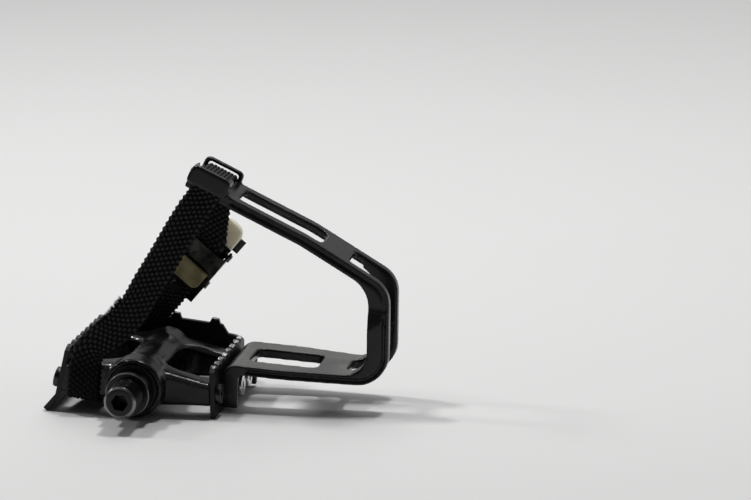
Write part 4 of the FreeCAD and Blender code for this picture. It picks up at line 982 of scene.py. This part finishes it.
@dataclass
class WovenStrap(Assembly):
    """The strap, woven along the node's course, its near run swayed to the toe and frayed."""

    step: float = 0.4 * MM
    columns: int = 48
    yarns: int = 8
    pitch: float = 2.6 * MM
    half_width: float = 6.6 * MM
    half_thickness: float = 0.28 * MM
    yarn_rise: float = 0.72 * MM
    edge_rise: float = 0.6 * MM
    face_power: int = 12
    edge_power: int = 14
    snap: float = 2e-6
    sway: float = 2.4 * MM
    sway_height: float = 26.0 * MM
    sway_reach: float = 20.0 * MM
    fray_low: float = 18.0 * MM
    fray_high: float = 33.0 * MM
    fray_dense: float = 28.0 * MM
    fibres: int = 280
    fibre_root: float = 0.3 * MM
    fibre_spread: float = 0.5 * MM
    fibre_radius: float = 0.2 * MM
    fibre_length: Band = (1.2 * MM, 3.2 * MM)
    fibre_shortest: float = 0.35
    fibre_lean: tuple[Band, ...] = ((-0.5, 0.5), (-0.5, 0.5), (-0.3, 0.7))
    fibre_curl: tuple[Band, ...] = ((-0.6, 0.6), (-0.4, 0.4), (-0.2, 0.9))
    fibre_taper: float = 0.7
    fibre_sides: int = 3
    fibre_stops: int = 4
    seed: int = 11

    def patches(self) -> list[set[Spot]]:
        """Corners of each surface patch of the strap node, where three or more patches meet.

        Returns:
            One set of corners for each patch.
        """
        shell = bmesh.new()
        shell.from_mesh(cad("strap").data)
        islands: list[set[bmesh.types.BMVert]] = []
        left = set(shell.verts)
        while left:
            island, edge_of_island = set(), [left.pop()]
            while edge_of_island:
                vertex = edge_of_island.pop()
                island.add(vertex)
                near = {edge.other_vert(vertex) for edge in vertex.link_edges} & left
                left -= near
                edge_of_island += near
            islands.append(island)
        owners: dict[Spot, set[int]] = defaultdict(set)
        for number, island in enumerate(islands):
            for vertex in island:
                owners[tuple(round(value / self.snap) for value in vertex.co)].add(number)
        shell.free()
        found: list[set[Spot]] = [set() for _ in islands]
        for spot, numbers in owners.items():
            if len(numbers) > 2:
                for number in numbers:
                    found[number].add(spot)
        return found

    def corner_lines(self) -> list[np.ndarray]:
        """Four corner lines of the strap node, each from the riveted end to the tail.

        Returns:
            One array of points for each corner line.
        """
        patches = self.patches()
        low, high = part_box("strap_tip")
        tip = np.array((low + high) / 2.0) / self.snap
        caps = [patch for patch in patches if len(patch) == 4
                and all(sum(spot in other for other in patches) == 3 for spot in patch)]
        cap = max(caps, key=lambda patch: np.linalg.norm(np.mean(list(patch), axis=0) - tip))
        lines = [[spot] for spot in sorted(cap)]
        before: set[Spot] = set()
        while True:
            station = {line[-1] for line in lines}
            sides = [patch for patch in patches if len(patch & station) == 2 and not patch & before]
            if not sides:
                break
            for line in lines:
                first, second = (patch for patch in sides if line[-1] in patch)
                line.append(next(iter((first & second) - station)))
            before = station
        return [np.array(line) * self.snap for line in lines]

    def course(self) -> tuple[np.ndarray, np.ndarray]:
        """Middle line of the strap and its direction across, evenly sampled.

        Returns:
            Points and directions, one row for each sample.
        """
        lines = self.corner_lines()
        first = lines[0][0]
        order = sorted(range(4), key=lambda number: np.linalg.norm(lines[number][0] - first))
        one, two, three, four = (lines[number] for number in order)
        middle = (one + two + three + four) / 4.0
        across = (one + two) / 2.0 - (three + four) / 2.0
        knots = self.lengths(middle)
        count = int(knots[-1] / self.step)
        where = np.linspace(0.0, knots[-1], count)
        middle = self.curve(knots, middle, where)
        across = self.curve(knots, across, where)
        far = np.clip(np.abs(middle[:, 2] - self.sway_height) / self.sway_reach, 0.0, 1.0)
        shift = self.sway * (0.5 + 0.5 * np.cos(math.pi * far))
        middle[:, 0] += np.where(self.near_run(middle), shift, 0.0)
        return middle, across

    @staticmethod
    def lengths(points: np.ndarray) -> np.ndarray:
        """Length along a line of points at each of them."""
        spans = np.linalg.norm(np.diff(points, axis=0), axis=1)
        return np.concatenate([[0.0], np.cumsum(spans)])

    @staticmethod
    def near_run(middle: np.ndarray) -> np.ndarray:
        """Whether each point lies on the crank side of the toe clip."""
        low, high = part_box("toe_clip")
        return middle[:, 1] < (low.y + high.y) / 2.0

    @staticmethod
    def curve(knots: np.ndarray, rows: np.ndarray, where: np.ndarray) -> np.ndarray:
        """Smooth curve through rows of points.

        Args:
            knots: Length along the course at each row.
            rows: Points to pass through.
            where: Lengths to read the curve at.

        Returns:
            Points on the curve.
        """
        slopes = np.gradient(rows, knots, axis=0)
        index = np.clip(np.searchsorted(knots, where, side="right") - 1, 0, len(knots) - 2)
        span = knots[index + 1] - knots[index]
        t = ((where - knots[index]) / span)[:, None]
        span = span[:, None]
        start = (2 * t**3 - 3 * t**2 + 1) * rows[index]
        leaving = (t**3 - 2 * t**2 + t) * span * slopes[index]
        end = (3 * t**2 - 2 * t**3) * rows[index + 1]
        arriving = (t**3 - t**2) * span * slopes[index + 1]
        return start + leaving + end + arriving

    def axes(self) -> tuple[np.ndarray, np.ndarray, np.ndarray, np.ndarray]:
        """Middle line with its unit directions and lengths.

        Returns:
            Points, directions across, directions out of the face, and lengths along.
        """
        middle, across = self.course()
        along = np.gradient(middle, axis=0)
        lengths = self.lengths(middle)
        along /= np.linalg.norm(along, axis=1)[:, None]
        across -= along * np.sum(across * along, axis=1)[:, None]
        across /= np.linalg.norm(across, axis=1)[:, None]
        return middle, across, np.cross(across, along), lengths

    def section(self, length: float) -> tuple[np.ndarray, np.ndarray, np.ndarray]:
        """Woven outline across the strap at one length along it.

        Args:
            length: Length along the strap.

        Returns:
            Offsets across, offsets out of the face and heights on the yarn from 0 to 1.
        """
        u = np.linspace(-1.0, 1.0, self.columns + 1)
        yarn = np.minimum(((u + 1.0) / 2.0 * self.yarns).astype(int), self.yarns - 1)
        inside = (u + 1.0) / 2.0 * self.yarns - yarn
        crown = np.sqrt(np.clip(1.0 - (2.0 * inside - 1.0) ** 2, 0.0, 1.0))
        phase = 2.0 * math.pi * (length / self.pitch + 0.5 * (yarn % 2))
        body = np.sqrt(np.clip(1.0 - np.abs(u) ** self.face_power, 0.0, 1.0))
        over = crown * (0.5 + 0.5 * np.cos(phase))
        under = crown * (0.5 - 0.5 * np.cos(phase))
        upper = body * (self.half_thickness + self.yarn_rise * over)
        lower = body * (self.half_thickness + self.yarn_rise * under)
        wave = 0.5 + 0.5 * np.cos(2.0 * math.pi * length / self.pitch)
        wide = u * (self.half_width + self.edge_rise * np.abs(u) ** self.edge_power * wave)
        back = slice(-2, 0, -1)
        return (np.concatenate([wide, wide[back]]), np.concatenate([upper, -lower[back]]),
                np.concatenate([over, under[back]]))

    def build(self) -> None:
        """Makes the woven band and its frayed fibres."""
        middle, across, out, lengths = self.axes()
        rows, crowns = [], []
        for spot, side, face, length in zip(middle, across, out, lengths):
            wide, thick, crown = self.section(length)
            rows.append(spot + wide[:, None] * side + thick[:, None] * face)
            crowns.append(crown)
        faces = tube_faces(len(rows), len(rows[0]))
        piece = link("woven_strap", mesh_from("woven_strap", np.concatenate(rows), faces))
        heights = piece.data.attributes.new(CROWN, "FLOAT", "POINT")
        heights.data.foreach_set("value", np.concatenate(crowns).astype(np.float32))
        WEBBING.dress(piece)
        stand_for(piece, "strap", Body.PEDAL)
        self.fray(middle, across, out)

    def fray(self, middle: np.ndarray, across: np.ndarray, out: np.ndarray) -> None:
        """Adds loose fibres along the rear edge of the strap's near run.

        Args:
            middle: Middle line of the strap.
            across: Directions across it.
            out: Directions out of its face.
        """
        draw = random.Random(self.seed)
        in_reach = (middle[:, 2] > self.fray_low) & (middle[:, 2] < self.fray_high)
        spots = np.flatnonzero(self.near_run(middle) & in_reach)
        points: list[Place] = []
        faces: list[list[int]] = []
        for _ in range(self.fibres):
            index = spots[draw.randrange(len(spots))]
            far = abs(middle[index, 2] - self.fray_dense) / (self.fray_high - self.fray_low)
            side = across[index] * (-1.0 if across[index, 0] > 0.0 else 1.0)
            start = middle[index] + side * (self.half_width - self.fibre_root)
            start = start + out[index] * draw.uniform(-self.fibre_spread, self.fibre_spread)
            length = draw.uniform(*self.fibre_length) * (1.0 - (1.0 - self.fibre_shortest) * far)
            outward, forward, upward = (draw.uniform(*band) for band in self.fibre_lean)
            lean = Vector(side) + Vector(out[index]) * outward + Vector((forward, 0.0, upward))
            curl = Vector([draw.uniform(*band) for band in self.fibre_curl])
            self.fibre(Vector(start), lean.normalized(), curl, length, points, faces)
        piece = link("strap_fray", mesh_from("strap_fray", np.array(points), faces))
        WEBBING.dress(piece)
        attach(piece, Body.PEDAL.value)
        logger.info("strap_fray: %d fibres", self.fibres)

    def fibre(self, start: Vector, lean: Vector, curl: Vector, length: float,
              points: list[Place], faces: list[list[int]]) -> None:
        """Adds one curled, tapered fibre to a list of points and faces.

        Args:
            start: Where it leaves the edge.
            lean: Direction in which it leaves.
            curl: How its direction changes to its end.
            length: Its length.
            points: Points of all the fibres.
            faces: Faces of all the fibres.
        """
        faces += tube_faces(self.fibre_stops, self.fibre_sides, len(points))
        side = lean.orthogonal().normalized()
        other = lean.cross(side)
        spot = start.copy()
        for stop in range(self.fibre_stops):
            share = stop / (self.fibre_stops - 1)
            radius = self.fibre_radius * (1.0 - self.fibre_taper * share)
            for corner in range(self.fibre_sides):
                turn = 2.0 * math.pi * corner / self.fibre_sides
                around = side * math.cos(turn) + other * math.sin(turn)
                points.append(tuple(spot + around * radius))
            spot = spot + (lean + curl * share).normalized() * (length / (self.fibre_stops - 1))


@dataclass
class Buckle(Assembly):
    """The strap's buckle, its pad, pins, spring and the cream tip of the tail."""

    steel: tuple[str, ...] = ("buckle_frame", "buckle_lever", "strap_rivet")
    pins: tuple[str, ...] = ("buckle_roller", "roller_pin", "lever_pin")
    steel_edge: float = 0.25 * MM
    soft_edge: float = 0.6 * MM
    soft_sides: int = 3

    def build(self) -> None:
        """Rounds the edges and dresses the nodes."""
        for finish, names in ((BUCKLE_STEEL_AND_SHADE, self.steel), (PLATED, self.pins)):
            for name in names:
                break_edges(name, self.steel_edge)
                finish.dress(cad(name))
        BUCKLE_STEEL_AND_SHADE.dress(cad("lever_spring"))
        break_edges("buckle_pad", self.soft_edge, self.soft_sides)
        PAD_CREAM.dress(cad("buckle_pad"))
        break_edges("strap_tip", self.soft_edge, self.soft_sides)
        TIP_CREAM.dress(cad("strap_tip"))
        logger.info("buckle is dressed")


@dataclass(frozen=True)
class Lamp:
    """A soft square lamp that faces the pedal unless it has another aim."""

    name: str
    place: Place
    size: float
    power: float
    aim: Place = (0.1, 0.1, 0.0)

    def hang(self) -> None:
        """Adds the lamp to the scene."""
        light = bpy.data.lights.new(self.name, "AREA")
        light.size = self.size
        light.energy = self.power
        lamp = bpy.data.objects.new(self.name, light)
        bpy.context.scene.collection.objects.link(lamp)
        lamp.location = self.place
        sight = Vector(self.aim) - Vector(self.place)
        lamp.rotation_euler = sight.to_track_quat("-Z", "Y").to_euler()


@dataclass
class Studio(Assembly):
    """Pale floor, soft lights and the camera at the photograph's angle."""

    floor_half: float = 5.0
    yaw: float = 9.9
    elevation: float = 13.0
    distance: float = 1.3
    aim: Place = (0.0987, 0.05, 0.0559)
    pixels_per_mm: float = 2.314
    sensor: float = 36.0
    nearest: float = 0.01
    sky_front: Colour = (0.05, 0.05, 0.052)
    sky_back: Colour = (0.35, 0.35, 0.35)
    sky_band: Band = (-0.5, 0.7)
    lamps: tuple[Lamp, ...] = (
        Lamp("key", (-0.65, 0.25, 1.35), 0.14, 7.2),
        Lamp("second", (0.24, 0.28, 1.4), 0.14, 7.2),
        Lamp("low_left", (-1.5, 0.2, 1.0), 0.2, 4.5),
        Lamp("backdrop", (0.1, 1.5, 1.9), 1.6, 16.0, aim=(0.1, 1.5, 0.0)),
    )

    def build(self) -> None:
        """Makes the floor, the world, the lamps and the camera."""
        self.floor()
        self.world()
        for lamp in self.lamps:
            lamp.hang()
        self.camera()
        logger.info("studio is set")

    def floor(self) -> None:
        """Makes the floor that the pedal rests on."""
        half = self.floor_half
        z = CAD_BOX[0].z
        corners = np.array([(-half, -half, z), (half, -half, z), (half, half, z), (-half, half, z)])
        piece = link("studio_floor", mesh_from("studio_floor", corners, [(0, 1, 2, 3)]))
        FLOOR_PAPER.dress(piece)

    def world(self) -> None:
        """Sets a soft sky that is pale behind the pedal and dim in front of it."""
        world = bpy.data.worlds.new("studio_sky")
        bpy.context.scene.world = world
        kit = NodeKit(world)
        direction = Value(kit, kit.node("ShaderNodeTexCoord").outputs["Generated"])
        parts = kit.node("ShaderNodeSeparateXYZ", inputs={0: direction})
        behind = kit.ramp(Value(kit, parts.outputs["Y"]), self.sky_band)
        kit.sky(kit.mix(behind, self.sky_front, self.sky_back))

    def camera(self) -> None:
        """Sets the camera from its yaw, elevation, distance and scale."""
        lens = bpy.data.cameras.new("studio_camera")
        lens.sensor_width = self.sensor
        lens.lens = self.sensor * self.distance / (IMAGE_WIDTH / self.pixels_per_mm * MM)
        eye = bpy.data.objects.new("studio_camera", lens)
        bpy.context.scene.collection.objects.link(eye)
        yaw, rise = math.radians(self.yaw), math.radians(self.elevation)
        level_back = Vector((math.sin(yaw), -math.cos(yaw), 0.0))
        back = level_back * math.cos(rise) + Vector((0.0, 0.0, math.sin(rise)))
        eye.location = Vector(self.aim) + back * self.distance
        eye.rotation_euler = (-back).to_track_quat("-Z", "Y").to_euler()
        lens.clip_start = self.nearest
        bpy.context.scene.camera = eye
        bpy.context.scene.view_settings.view_transform = "Standard"


@dataclass
class Pedal(Assembly):
    """The whole pedal, sub-assembly by sub-assembly."""

    parts: list[Assembly] = field(default_factory=lambda: [
        CastBody(), Cage(), Spindle(), Bearings(), ToeClip(), WovenStrap(), Buckle()])

    def build(self) -> None:
        """Builds each sub-assembly in turn."""
        for part in self.parts:
            logger.info("building %s", type(part).__name__)
            part.build()


def main() -> None:
    """Builds the studio and the pedal."""
    logging.basicConfig(level=logging.INFO, format="%(name)s: %(message)s")
    Studio().build()
    Pedal().build()


if __name__ == "__main__":
    main()
